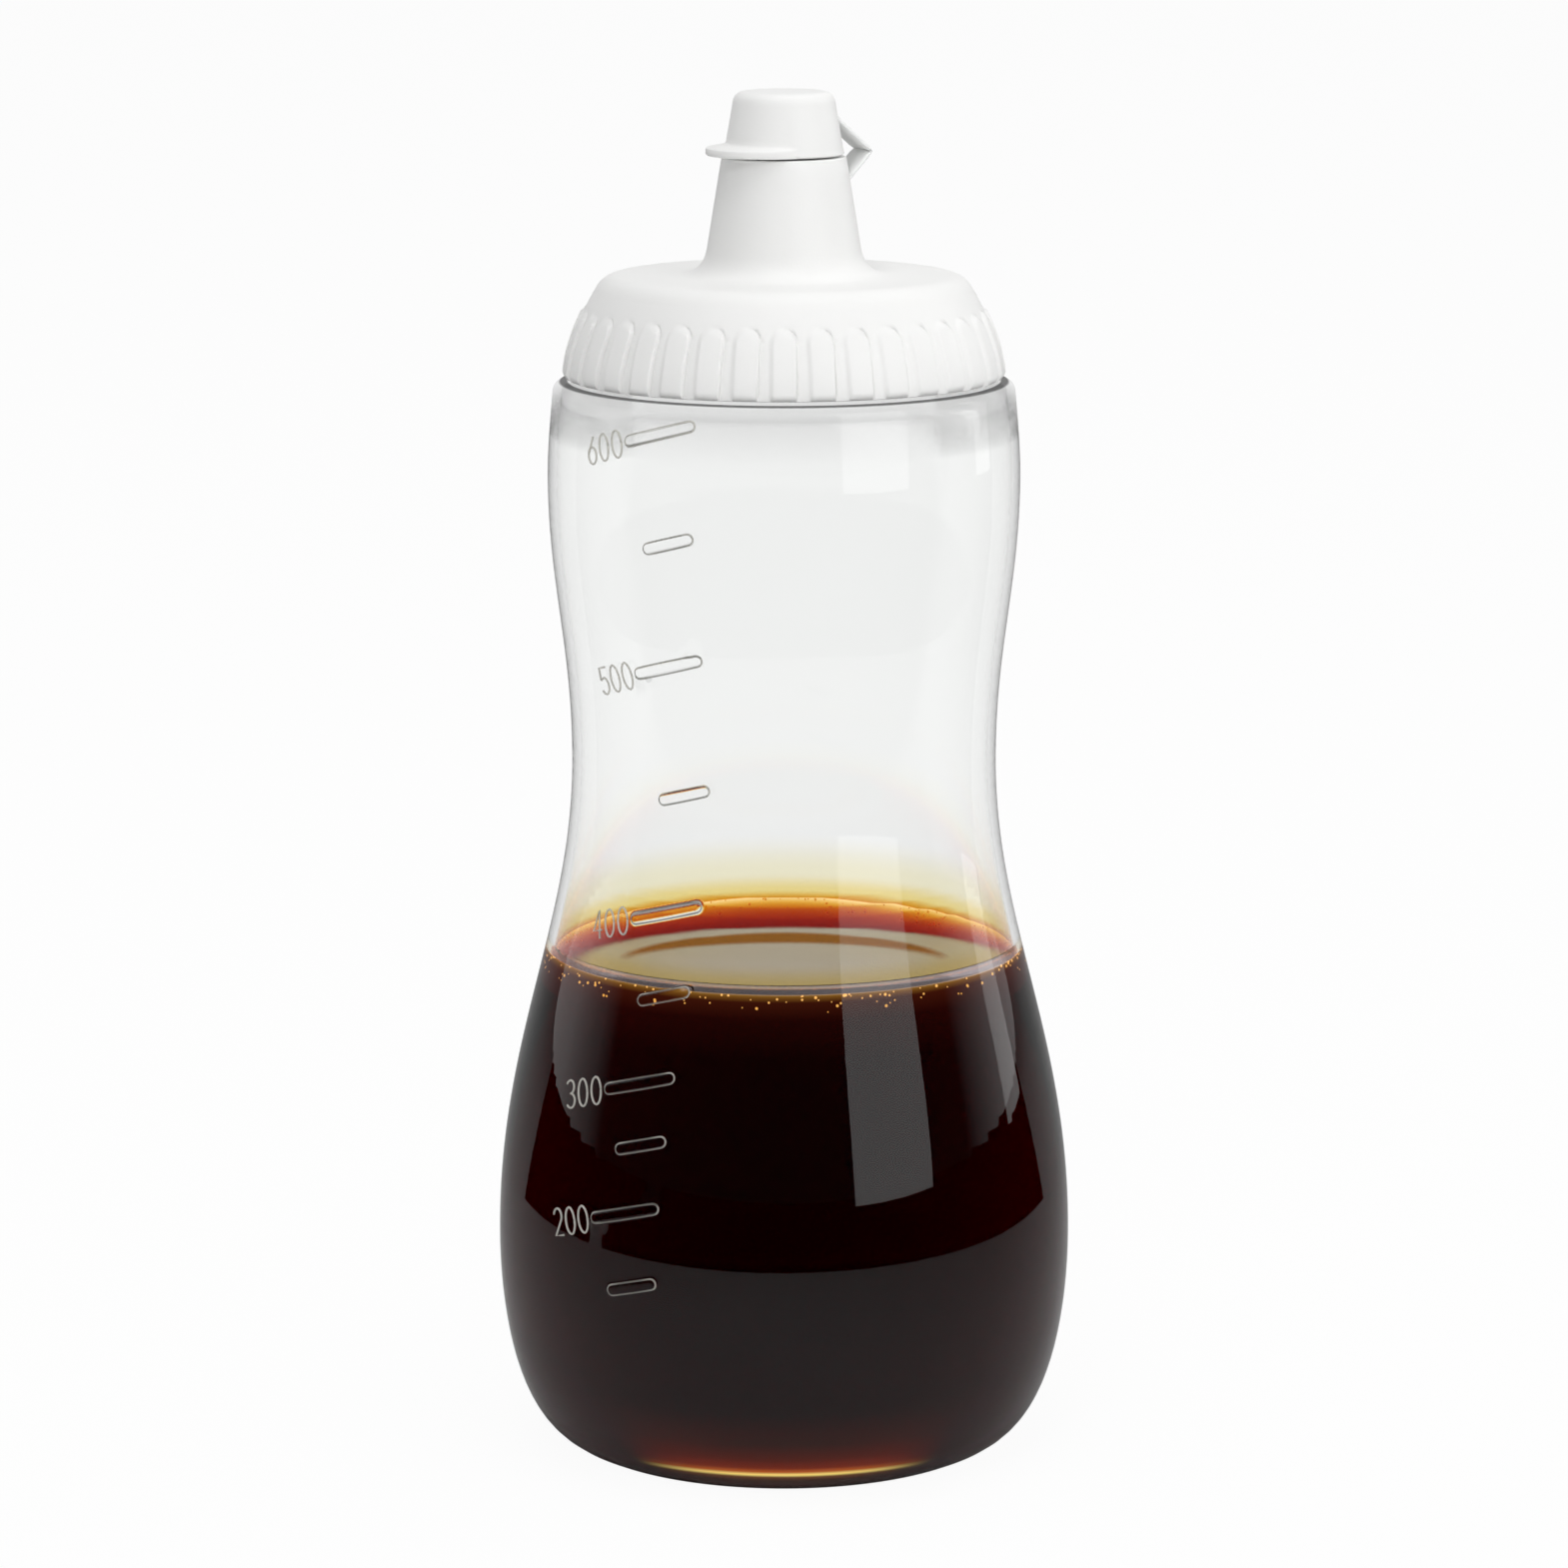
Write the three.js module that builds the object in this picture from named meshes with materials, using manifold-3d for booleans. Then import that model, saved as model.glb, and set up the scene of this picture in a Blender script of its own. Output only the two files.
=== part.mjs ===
// Condiment squeeze bottle with a screw cap, a pouring spout and a flip lid.
// Millimetres, +Z up. The origin is the middle of the base, on the table.
// The lid's hinge is towards +X and its thumb lip towards -X.
import * as THREE from "three";
import { mergeVertices } from "three/addons/utils/BufferGeometryUtils.js";
import Module from "manifold-3d";

const wasm = await Module();
wasm.setup();

// Bottle body: radius and height of each place where the outline turns
const bellyRadius = 42.35;
const bellyHeight = 31;
const waistRadius = 31.1;
const waistHeight = 103;
const collarRadius = 34.4;
const collarHeight = 144;
const shoulderRadius = 33.6;
const shoulderHeight = 157;
const footRadius = 28.5;
const footWidth = 3;
const pushUpDepth = 1.6;
const wall = 1.3;

// Neck and its thread
const neckRadius = 26.2;
const neckTop = 169.6;
const neckWall = 1.7;
const shoulderStep = 1.3;
const threadPitch = 5;
const threadTurns = 1.1;
const threadDepth = 1.2;
const threadRootWidth = 2.3;
const threadCrestWidth = 1;
const threadStart = 162.7;
const threadClearance = 0.4;

// Liquid
const fillHeight = 74.3;
const liquidGap = 0.3;

// Screw cap, from its open end to the flat top
const capBottom = 158.8;
const capSkirtRadius = 31.75;
const capTop = 173.6;
const capTopRadius = 26.2;
const capWall = 1.8;
const roofCorner = 1.8;
const gripCount = 36;
const gripRelief = 0.45;
const gripWidth = 3.5;
const gripTop = 168.6;
const gripFoot = 0.8;

// Spout, moulded in one with the cap
const spoutRootRadius = 11.15;
const spoutRootHeight = 177.4;
const spoutFilletRadius = 15.2;
const spoutTipRadius = 9.05;
const spoutTop = 190.6;
const spoutWall = 1.4;
const nozzleRadius = 4.2;
const nozzleTop = 196;
const orificeRadius = 1.8;

// Flip lid
const lidGap = 0.3;
const lidRimRadius = 8.7;
const lidTopRadius = 7.45;
const lidTop = 200;
const lidCorner = 1.9;
const lidWall = 1.3;
const lipReach = 11.6;
const lipRadius = 8.4;
const lipThickness = 1.3;
const pinRootRadius = 1.25;
const pinTipRadius = 0.8;
const pinDepth = 1.8;

// Living hinge, a strap folded outwards between lid and spout
const hingeReach = 12.7;
const hingeHeight = 191.2;
const strapWidth = 6;
const strapThickness = 0.5;
const strapEndGap = 0.6;
const strapUpperSeat = 195.7;
const strapLowerSeat = 187.5;

// Sealing ring between the neck and the cap
const ringInset = 0.3;
const ringGap = 0.3;

// Scale on the wall: height of each mark, every second one long, from the lowest up
const markHeights = [32, 42.5, 52.5, 61, 73.5, 85, 102, 120.5, 138.5, 154];
const longMarkLength = 11.8;
const shortMarkLength = 8.3;
const markHeight = 1.5;
const markRelief = 0.4;
const markSlant = 15;
const scaleStartAngle = -156.5;

// Smoothness
const bodySegments = 40;
const capSegments = gripCount;
const lidSegments = 36;
const curveSteps = 6;
const innerSteps = 3;
const threadStepsPerTurn = 30;
const capSteps = 4;

// A closed geometry with one vertex at each place and no empty triangle
function welded(geometry) {
  const bare = geometry.clone();
  for (const name of Object.keys(bare.attributes)) {
    if (name !== "position") bare.deleteAttribute(name);
  }
  const merged = mergeVertices(bare, 1e-4);
  const kept = [];
  const index = merged.index.array;
  for (let i = 0; i < index.length; i += 3) {
    const [a, b, c] = [index[i], index[i + 1], index[i + 2]];
    if (a !== b && b !== c && c !== a) kept.push(a, b, c);
  }
  merged.setIndex(kept);
  return merged;
}

function solidOf(geometry) {
  const merged = welded(geometry);
  const mesh = new wasm.Mesh({
    numProp: 3,
    vertProperties: new Float32Array(merged.attributes.position.array),
    triVerts: new Uint32Array(merged.index.array),
  });
  return new wasm.Manifold(mesh);
}

function geometryOf(solid) {
  const mesh = solid.getMesh();
  const geometry = new THREE.BufferGeometry();
  geometry.setAttribute("position", new THREE.BufferAttribute(new Float32Array(mesh.vertProperties), 3));
  geometry.setIndex(Array.from(mesh.triVerts));
  geometry.computeVertexNormals();
  return geometry;
}

// Turns a profile of (radius, height) points about the Z axis
function revolve(path, segments, steps = curveSteps) {
  const geometry = new THREE.LatheGeometry(path.getPoints(steps), segments);
  geometry.rotateX(Math.PI / 2);
  return geometry;
}

function disc(radius, bottom, top, segments = bodySegments) {
  const path = new THREE.Path();
  path.moveTo(0, bottom);
  path.lineTo(radius, bottom);
  path.lineTo(radius, top);
  path.lineTo(0, top);
  return solidOf(revolve(path, segments));
}

// The body's outline grown outwards by an offset, from the table to the top of the shoulder
function bodyOutline(path, offset) {
  const r = (radius) => radius + offset;
  path.bezierCurveTo(
    r(footRadius + 0.9 * (bellyRadius - footRadius)), -offset,
    r(bellyRadius), bellyHeight * 0.74,
    r(bellyRadius), bellyHeight,
  );
  const fall = waistHeight - bellyHeight;
  path.bezierCurveTo(
    r(bellyRadius), bellyHeight + 0.415 * fall,
    r(waistRadius), waistHeight - 0.355 * fall,
    r(waistRadius), waistHeight,
  );
  const rise = collarHeight - waistHeight;
  path.bezierCurveTo(
    r(waistRadius), waistHeight + 0.405 * rise,
    r(collarRadius), collarHeight - 0.375 * rise,
    r(collarRadius), collarHeight,
  );
  path.bezierCurveTo(
    r(collarRadius), collarHeight + 0.32 * (shoulderHeight - collarHeight),
    r(shoulderRadius + 0.5), shoulderHeight - 0.45 * (shoulderHeight - collarHeight),
    r(shoulderRadius), shoulderHeight,
  );
}

// The outer form from the base to the neck's rim, without its thread
function bottleOuter() {
  const path = new THREE.Path();
  path.moveTo(0, pushUpDepth);
  path.quadraticCurveTo(footRadius - footWidth - 6, pushUpDepth, footRadius - footWidth, 0);
  path.lineTo(footRadius, 0);
  bodyOutline(path, 0);
  const top = shoulderHeight + shoulderStep;
  path.quadraticCurveTo(shoulderRadius - 0.3, top, shoulderRadius - 2.1, top);
  path.lineTo(neckRadius, top);
  path.lineTo(neckRadius, neckTop);
  path.lineTo(0, neckTop);
  return solidOf(revolve(path, bodySegments));
}

// The hollow of the bottle, grown inwards by an offset and cut off at a height
function bottleInner(offset, top) {
  const inner = wall + offset;
  const underShoulder = shoulderHeight + shoulderStep - inner;
  const path = new THREE.Path();
  path.moveTo(0, pushUpDepth + inner);
  path.quadraticCurveTo(footRadius - footWidth - 6, pushUpDepth + inner, footRadius - footWidth, inner);
  path.lineTo(footRadius - 0.4 * inner, inner);
  bodyOutline(path, -inner);
  path.quadraticCurveTo(shoulderRadius - inner - 0.3, underShoulder, shoulderRadius - inner - 2.1, underShoulder);
  path.lineTo(neckRadius - neckWall, underShoulder + 1);
  path.lineTo(neckRadius - neckWall, neckTop + 1);
  path.lineTo(0, neckTop + 1);
  const hollow = solidOf(revolve(path, bodySegments, innerSteps));
  if (top === undefined) return hollow;
  return hollow.intersect(disc(bellyRadius + wall, 0, top));
}

// A helical thread ridge, swept from a section of (radius, height) points, tapered in at both ends
function helicalRidge({ root, crest, start, turns, rootWidth, crestWidth }) {
  const steps = Math.ceil(turns * threadStepsPerTurn);
  const positions = [];
  const index = [];
  for (let i = 0; i <= steps; i += 1) {
    const turn = (turns * i) / steps;
    const angle = 2 * Math.PI * turn;
    const height = start + threadPitch * turn;
    const taper = Math.min(1, 0.15 + i / 4, 0.15 + (steps - i) / 4);
    const tip = root + (crest - root) * taper;
    const section = [
      [root, -rootWidth / 2],
      [tip, -crestWidth / 2],
      [tip, crestWidth / 2],
      [root, rootWidth / 2],
    ];
    for (const [radius, rise] of section) {
      positions.push(radius * Math.cos(angle), radius * Math.sin(angle), height + rise);
    }
  }
  const inward = crest < root;
  const face = (a, b, c) => (inward ? index.push(a, c, b) : index.push(a, b, c));
  for (let i = 0; i < steps; i += 1) {
    for (let k = 0; k < 4; k += 1) {
      const a = 4 * i + k;
      const b = 4 * i + ((k + 1) % 4);
      face(a, a + 4, b);
      face(b, a + 4, b + 4);
    }
  }
  const last = 4 * steps;
  face(0, 1, 2);
  face(0, 2, 3);
  face(last, last + 2, last + 1);
  face(last, last + 3, last + 2);
  const geometry = new THREE.BufferGeometry();
  geometry.setAttribute("position", new THREE.Float32BufferAttribute(positions, 3));
  geometry.setIndex(index);
  return solidOf(geometry);
}

// A flat outline in the plane of (sideways, up), pushed out along the radius at an angle in degrees
function radialPrism(shape, angle, height, slant, reach) {
  const geometry = new THREE.ExtrudeGeometry(shape, { depth: reach, bevelEnabled: false, curveSegments: 3 });
  geometry.rotateZ(THREE.MathUtils.degToRad(slant));
  geometry.rotateX(Math.PI / 2);
  geometry.rotateZ(Math.PI / 2 + THREE.MathUtils.degToRad(angle));
  geometry.translate(0, 0, height);
  return solidOf(geometry);
}

function capsuleShape(length, height) {
  const r = height / 2;
  const half = length / 2 - r;
  const shape = new THREE.Shape();
  shape.moveTo(-half, -r);
  shape.lineTo(half, -r);
  shape.absarc(half, 0, r, -Math.PI / 2, Math.PI / 2, false);
  shape.lineTo(-half, r);
  shape.absarc(-half, 0, r, Math.PI / 2, 1.5 * Math.PI, false);
  return shape;
}

// A grip pad's outline: straight sides and a round head
function gripShape(bottom) {
  const r = gripWidth / 2;
  const shape = new THREE.Shape();
  shape.moveTo(-r, bottom);
  shape.lineTo(r, bottom);
  shape.lineTo(r, gripTop - r);
  shape.absarc(0, gripTop - r, r, 0, Math.PI, false);
  shape.lineTo(-r, bottom);
  return shape;
}

// Where the body's outline stands at a height
function bodyRadiusAt(height) {
  const path = new THREE.Path();
  path.moveTo(footRadius, 0);
  bodyOutline(path, 0);
  const points = path.getPoints(4 * curveSteps);
  const above = points.findIndex((point) => point.y >= height);
  if (above < 1) return shoulderRadius;
  const [low, high] = [points[above - 1], points[above]];
  return low.x + ((high.x - low.x) * (height - low.y)) / (high.y - low.y);
}

// The raised scale marks: long ones start at one line, and all end near the other
function scaleMarks() {
  const path = new THREE.Path();
  path.moveTo(0, 0);
  path.lineTo(footRadius, 0);
  bodyOutline(path, markRelief);
  path.lineTo(0, shoulderHeight);
  const shell = solidOf(revolve(path, bodySegments));
  let marks = null;
  markHeights.forEach((height, i) => {
    const length = i % 2 === 1 ? longMarkLength : shortMarkLength;
    const middle = longMarkLength - length / 2;
    const angle = scaleStartAngle + THREE.MathUtils.radToDeg(middle / bodyRadiusAt(height));
    const prism = radialPrism(capsuleShape(length, markHeight), angle, height, markSlant, 2 * bellyRadius);
    marks = marks ? marks.add(prism) : prism;
  });
  return shell.intersect(marks);
}

function bottleGeometry() {
  const thread = helicalRidge({
    root: neckRadius - 0.3,
    crest: neckRadius + threadDepth,
    start: threadStart,
    turns: threadTurns,
    rootWidth: threadRootWidth + 0.3,
    crestWidth: threadCrestWidth,
  });
  return geometryOf(bottleOuter().add(scaleMarks()).add(thread).subtract(bottleInner(0)));
}

function liquidGeometry() {
  return geometryOf(bottleInner(liquidGap, fillHeight));
}

// The cap's domed side and flat top, grown by an offset, up to the spout's root
function capOutline(path, offset) {
  path.lineTo(capSkirtRadius + offset, capBottom);
  path.bezierCurveTo(
    capSkirtRadius + offset, capBottom + 0.3 * (capTop - capBottom),
    capTopRadius + 2.6 + offset, capTop - 0.3 * (capTop - capBottom),
    capTopRadius + 1.2 + offset, capTop - 2.2,
  );
  path.quadraticCurveTo(capTopRadius + 0.1 + offset, capTop, capTopRadius - 2.2, capTop);
}

function spoutOuter() {
  const path = new THREE.Path();
  path.moveTo(0, capBottom);
  capOutline(path, 0);
  path.lineTo(spoutFilletRadius, capTop);
  path.quadraticCurveTo(spoutRootRadius + 0.6, capTop + 0.2, spoutRootRadius, spoutRootHeight);
  path.lineTo(spoutTipRadius, spoutTop);
  path.lineTo(nozzleRadius + 0.4, spoutTop);
  path.lineTo(nozzleRadius - 0.2, nozzleTop - 0.6);
  path.lineTo(nozzleRadius - 0.8, nozzleTop);
  path.lineTo(0, nozzleTop);
  return solidOf(revolve(path, capSegments, capSteps));
}

// The cap's hollow: a straight bore for the thread, the roof, the spout and the orifice
function capInner() {
  const bore = neckRadius + threadDepth + threadClearance;
  const roof = capTop - capWall;
  const path = new THREE.Path();
  path.moveTo(0, capBottom - 1);
  path.lineTo(bore, capBottom - 1);
  path.lineTo(bore, neckTop - 2.4);
  path.quadraticCurveTo(bore - roofCorner * 0.1, roof, bore - roofCorner, roof);
  path.lineTo(spoutFilletRadius - 2, roof);
  path.quadraticCurveTo(
    spoutRootRadius - spoutWall, roof,
    spoutRootRadius - spoutWall, spoutRootHeight,
  );
  path.lineTo(spoutTipRadius - spoutWall, spoutTop - 1.6 * spoutWall);
  path.quadraticCurveTo(spoutTipRadius - spoutWall, spoutTop - spoutWall, nozzleRadius, spoutTop - spoutWall);
  path.lineTo(orificeRadius, spoutTop - 0.2 * spoutWall);
  path.lineTo(orificeRadius, nozzleTop - 0.5);
  path.lineTo(orificeRadius + 0.4, nozzleTop + 0.1);
  path.lineTo(0, nozzleTop + 0.1);
  return solidOf(revolve(path, bodySegments, innerSteps));
}

function gripPads() {
  const path = new THREE.Path();
  path.moveTo(0, capBottom);
  capOutline(path, gripRelief);
  path.lineTo(0, capTop);
  const shell = solidOf(revolve(path, capSegments, capSteps));
  const shape = gripShape(capBottom + gripFoot);
  let pads = null;
  for (let i = 0; i < gripCount; i += 1) {
    const prism = radialPrism(shape, (360 * (i + 0.5)) / gripCount, 0, 0, 2 * capSkirtRadius);
    const outside = prism.subtract(disc(capTopRadius, capBottom, capTop, capSegments));
    pads = pads ? pads.add(outside) : outside;
  }
  return shell.intersect(pads);
}

function capGeometry() {
  const bore = neckRadius + threadDepth + threadClearance;
  const thread = helicalRidge({
    root: bore + 0.3,
    crest: neckRadius + threadClearance,
    start: threadStart - threadPitch / 2,
    turns: threadTurns,
    rootWidth: threadRootWidth + 0.3,
    crestWidth: threadCrestWidth,
  });
  return geometryOf(spoutOuter().add(gripPads()).subtract(capInner()).add(thread));
}

function sealingRingGeometry() {
  const bottom = neckTop + ringGap;
  const top = capTop - capWall - ringGap;
  const inner = neckRadius - neckWall + ringInset;
  const outer = neckRadius - ringInset;
  const path = new THREE.Path();
  path.moveTo(inner, bottom);
  path.lineTo(outer, bottom);
  path.lineTo(outer, top);
  path.lineTo(inner, top);
  path.lineTo(inner, bottom);
  return welded(revolve(path, bodySegments));
}

function lidGeometry() {
  const rim = spoutTop + lidGap;
  const path = new THREE.Path();
  path.moveTo(0, rim);
  path.lineTo(lidRimRadius, rim);
  path.lineTo(lidTopRadius, lidTop - lidCorner);
  path.quadraticCurveTo(lidTopRadius - 0.15, lidTop, lidTopRadius - lidCorner, lidTop);
  path.lineTo(0, lidTop);
  const shell = solidOf(revolve(path, lidSegments, 5));

  const lipCentre = lipRadius - lipReach;
  const lip = disc(lipRadius, rim, rim + lipThickness, lidSegments).translate([lipCentre, 0, 0]);

  const roof = lidTop - lidWall;
  const hollowPath = new THREE.Path();
  hollowPath.moveTo(0, rim - 1);
  hollowPath.lineTo(lidRimRadius - lidWall, rim - 1);
  hollowPath.lineTo(lidRimRadius - lidWall, rim);
  hollowPath.lineTo(lidTopRadius - lidWall, roof - 1.2);
  hollowPath.quadraticCurveTo(lidTopRadius - lidWall, roof, lidTopRadius - lidWall - 1.2, roof);
  hollowPath.lineTo(0, roof);
  const hollow = solidOf(revolve(hollowPath, lidSegments, 3));

  const pinPath = new THREE.Path();
  pinPath.moveTo(0, nozzleTop - pinDepth);
  pinPath.lineTo(pinTipRadius, nozzleTop - pinDepth);
  pinPath.lineTo(pinRootRadius, nozzleTop);
  pinPath.lineTo(pinRootRadius, roof + 0.4);
  pinPath.lineTo(0, roof + 0.4);
  const pin = solidOf(revolve(pinPath, 24));

  return geometryOf(shell.add(lip).subtract(hollow).add(pin));
}

// One leaf of the folded strap, from near the crease to its root on a wall
function strapLeaf(rootRadius, rootHeight) {
  const reach = new THREE.Vector2(rootRadius - hingeReach, rootHeight - hingeHeight);
  const along = reach.clone().normalize();
  const across = new THREE.Vector2(-along.y, along.x).multiplyScalar(strapThickness / 2);
  const near = along.clone().multiplyScalar(strapEndGap);
  const corners = [
    near.clone().add(across),
    reach.clone().add(across),
    reach.clone().sub(across),
    near.clone().sub(across),
  ];
  const shape = new THREE.Shape(corners);
  const geometry = new THREE.ExtrudeGeometry(shape, { depth: strapWidth, bevelEnabled: false });
  geometry.translate(0, 0, -strapWidth / 2);
  geometry.rotateX(Math.PI / 2);
  geometry.translate(hingeReach, 0, hingeHeight);
  return geometry;
}

// A tapered wall's radius at a height, and a leaf cut to it with a small gap
function taperRadius(low, high, height) {
  return low.r + ((high.r - low.r) * (height - low.z)) / (high.z - low.z);
}

function leafBetween(low, high, rootHeight) {
  const rootRadius = taperRadius(low, high, rootHeight);
  const leaf = solidOf(strapLeaf(rootRadius - 2, rootHeight));
  const path = new THREE.Path();
  path.moveTo(0, low.z);
  path.lineTo(low.r + lidGap, low.z);
  path.lineTo(high.r + lidGap, high.z);
  path.lineTo(0, high.z);
  return geometryOf(leaf.subtract(solidOf(revolve(path, lidSegments))));
}

function upperLeafGeometry() {
  const low = { r: lidRimRadius, z: spoutTop + lidGap };
  const high = { r: lidTopRadius, z: lidTop - lidCorner };
  return leafBetween(low, high, strapUpperSeat);
}

function lowerLeafGeometry() {
  const low = { r: spoutRootRadius, z: spoutRootHeight };
  const high = { r: spoutTipRadius, z: spoutTop };
  return leafBetween(low, high, strapLowerSeat);
}

const clearPlastic = { color: 0xe9efee, roughness: 0.06, metalness: 0, transparent: true, opacity: 0.35 };
const whitePlastic = { color: 0xf0f0ee, roughness: 0.45, metalness: 0 };
const softWhite = { color: 0xe6e7e5, roughness: 0.5, metalness: 0 };
const rubber = { color: 0xd8d8d4, roughness: 0.7, metalness: 0 };
const sauce = { color: 0x2a0c04, roughness: 0.1, metalness: 0 };

const group = new THREE.Group();

function addPart(name, geometry, material) {
  const mesh = new THREE.Mesh(geometry, new THREE.MeshStandardMaterial(material));
  mesh.name = name;
  group.add(mesh);
}

addPart("bottle", bottleGeometry(), clearPlastic);
addPart("sauce", liquidGeometry(), sauce);
addPart("sealing_ring", sealingRingGeometry(), rubber);
addPart("screw_cap", capGeometry(), whitePlastic);
addPart("flip_lid", lidGeometry(), whitePlastic);
addPart("hinge_strap_upper", upperLeafGeometry(), softWhite);
addPart("hinge_strap_lower", lowerLeafGeometry(), softWhite);

export default group;
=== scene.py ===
"""Looks of a condiment squeeze bottle: clear waisted body, dark sauce, white screw cap, spout and flip lid.

Sizes are in millimetres here and become metres where a mesh or a node is made.
"""

import math
import random

import bpy
import numpy as np
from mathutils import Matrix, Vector


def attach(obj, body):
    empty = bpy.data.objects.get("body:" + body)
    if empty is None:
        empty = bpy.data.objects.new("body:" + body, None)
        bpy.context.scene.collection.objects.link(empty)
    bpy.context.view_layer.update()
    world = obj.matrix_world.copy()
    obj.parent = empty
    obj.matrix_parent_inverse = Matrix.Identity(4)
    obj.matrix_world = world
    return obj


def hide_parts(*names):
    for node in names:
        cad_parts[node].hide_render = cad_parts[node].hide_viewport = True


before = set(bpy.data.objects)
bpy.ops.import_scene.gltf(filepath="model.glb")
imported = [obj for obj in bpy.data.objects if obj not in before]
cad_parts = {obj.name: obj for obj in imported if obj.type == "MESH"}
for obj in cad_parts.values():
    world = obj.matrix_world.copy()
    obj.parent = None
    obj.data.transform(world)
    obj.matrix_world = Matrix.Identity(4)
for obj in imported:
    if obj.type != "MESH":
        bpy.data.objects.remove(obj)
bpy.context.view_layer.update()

MM = 0.001

# Camera, fitted to the photograph's ellipses
CAMERA_AZIMUTH = -25.0
CAMERA_PITCH = 10.7
CAMERA_DISTANCE = 867.6
CAMERA_TARGET_HEIGHT = 98.5
CAMERA_LENS = 135.4
CAMERA_SENSOR = 36
CAMERA_CLIP = (0.01, 50)

# Body outline: radius and height where it turns, and how far each turn pulls the curve before and after it
BELLY = (42.35, 31.0)
WAIST = (31.1, 103.0)
COLLAR = (34.4, 144.0)
SHOULDER = (33.6, 157.0)
FOOT_PULL = 0.9
BELLY_PULLS = (0.26, 0.415)
WAIST_PULLS = (0.355, 0.405)
COLLAR_PULLS = (0.375, 0.32)
SHOULDER_PULL = 0.45
SHOULDER_FLARE = 0.5
FOOT_RADIUS = 28.5
FOOT_WIDTH = 3.0
PUSH_UP = 1.6
PUSH_UP_FALL = 6
WALL = 1.3
SHOULDER_STEP = 1.3
SHOULDER_ROUND = 2.1
INNER_FOOT_SHARE = 0.4
BASE_STEPS = 10
FOOT_STEPS = 2
SIDE_START = BASE_STEPS + FOOT_STEPS + 1
FINE_STEPS = 24

# Neck and thread
NECK_RADIUS = 26.2
NECK_TOP = 169.6
NECK_WALL = 1.7
NECK_EASE = 0.3
NECK_FILLET = 0.4
INNER_NECK_FILLET = ((0.8, 0.6), (0.0, 1.6))
THREAD_PITCH = 5.0
THREAD_TURNS = 1.1
THREAD_FADE = 0.1
THREAD_DEPTH = 1.2
THREAD_START = 162.7
THREAD_CLEARANCE = 0.4
THREAD_ROOT_HALF = 1.15
THREAD_CREST_HALF = 0.5

# Sauce
FILL_HEIGHT = 74.3
WET_OVERLAP = 0.06
FILM_HEIGHT = 11.0
FILM_GAP = 0.05
MENISCUS_RISE = 1.4
MENISCUS_REACH = 0.6
MENISCUS_SPAN = 26
MENISCUS_CROWDING = 2.6
MENISCUS_INSET = 0.02
MENISCUS_ROWS = 46
FILM_ROWS = 14
SAUCE_COLUMNS = 180
BUBBLE_COUNT = 240
BUBBLE_DEPTH = 2.6
BUBBLE_SIZES = [0.1, 0.13, 0.17, 0.22]
BUBBLE_CLEAR = 1.02

# Cap, spout and lid
CAP_BOTTOM = 158.8
CAP_SKIRT_RADIUS = 31.75
CAP_TOP = 173.6
CAP_TOP_RADIUS = 26.2
CAP_WALL = 1.8
CAP_PULL = 0.3
CAP_BULGE = 2.6
CAP_KNEE = (1.2, 2.2)
CAP_CORNER_OUT = 0.1
KNEE_STEPS = 12
SKIRT_STEPS = 36
THREAD_ROWS = 26
THREAD_ROOM = 2.4
FOOT_EASE = 0.3
ROOF_CORNER = 1.8
GRIP_COUNT = 36
GRIP_RELIEF = 0.45
GRIP_WIDTH = 3.5
GRIP_TOP = 168.6
GRIP_FOOT = 0.45
GRIP_SOFT_EDGE = 0.8
GRIP_SHARP_EDGE = 0.16
GRIP_GROOVE_WIDTH = 0.13
GRIP_GROOVE_DEPTH = 0.3
GRIP_COLUMNS = (
    -2.6, -2.3, -2.1, -1.9, -1.7, -1.5, -1.3, -0.9, -0.3, 0.4, 1.0, 1.5, 1.66, 1.75, 1.83, 1.92, 2.02, 2.25,
)
SPOUT_ROOT = (11.15, 177.4)
SPOUT_FILLET_RADIUS = 15.2
SPOUT_TIP_RADIUS = 9.05
SPOUT_TOP = 190.6
SPOUT_WALL = 1.4
NOZZLE_RADIUS = 4.2
NOZZLE_TOP = 196.0
ORIFICE_RADIUS = 1.8
LID_GAP = 0.3
LID_RIM_RADIUS = 8.7
LID_TOP_RADIUS = 7.45
LID_TOP = 200.0
LID_CORNER = 1.9
LID_INNER_CORNER = 1.2
LID_WALL = 1.3
LIP_REACH = 11.6
LIP_RADIUS = 8.4
LIP_THICKNESS = 1.3
LIP_SHARES = (0.92, 1.0, 1.0, 1.0, 1.0, 0.95, 0.82, 0.5, 0.2, 0.05)
PIN_ROOT_RADIUS = 1.25
PIN_TIP_RADIUS = 0.8
PIN_DEPTH = 1.8
HINGE = (12.7, 191.2)
STRAP_WIDTH = 6.0
STRAP_UPPER_SEAT = 195.7
STRAP_LOWER_SEAT = 187.5
STRAP_SUNK = 0.3
STRAP_ROOT = 0.7
STRAP_EASE = 0.16
STRAP_HALVES = (0.1, 0.14, 0.19, 0.25, 0.25, 0.25, 0.27, 0.3)
RING_INSET = 0.3
RING_GAP = 0.3
RING_EASE = 0.25

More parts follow.
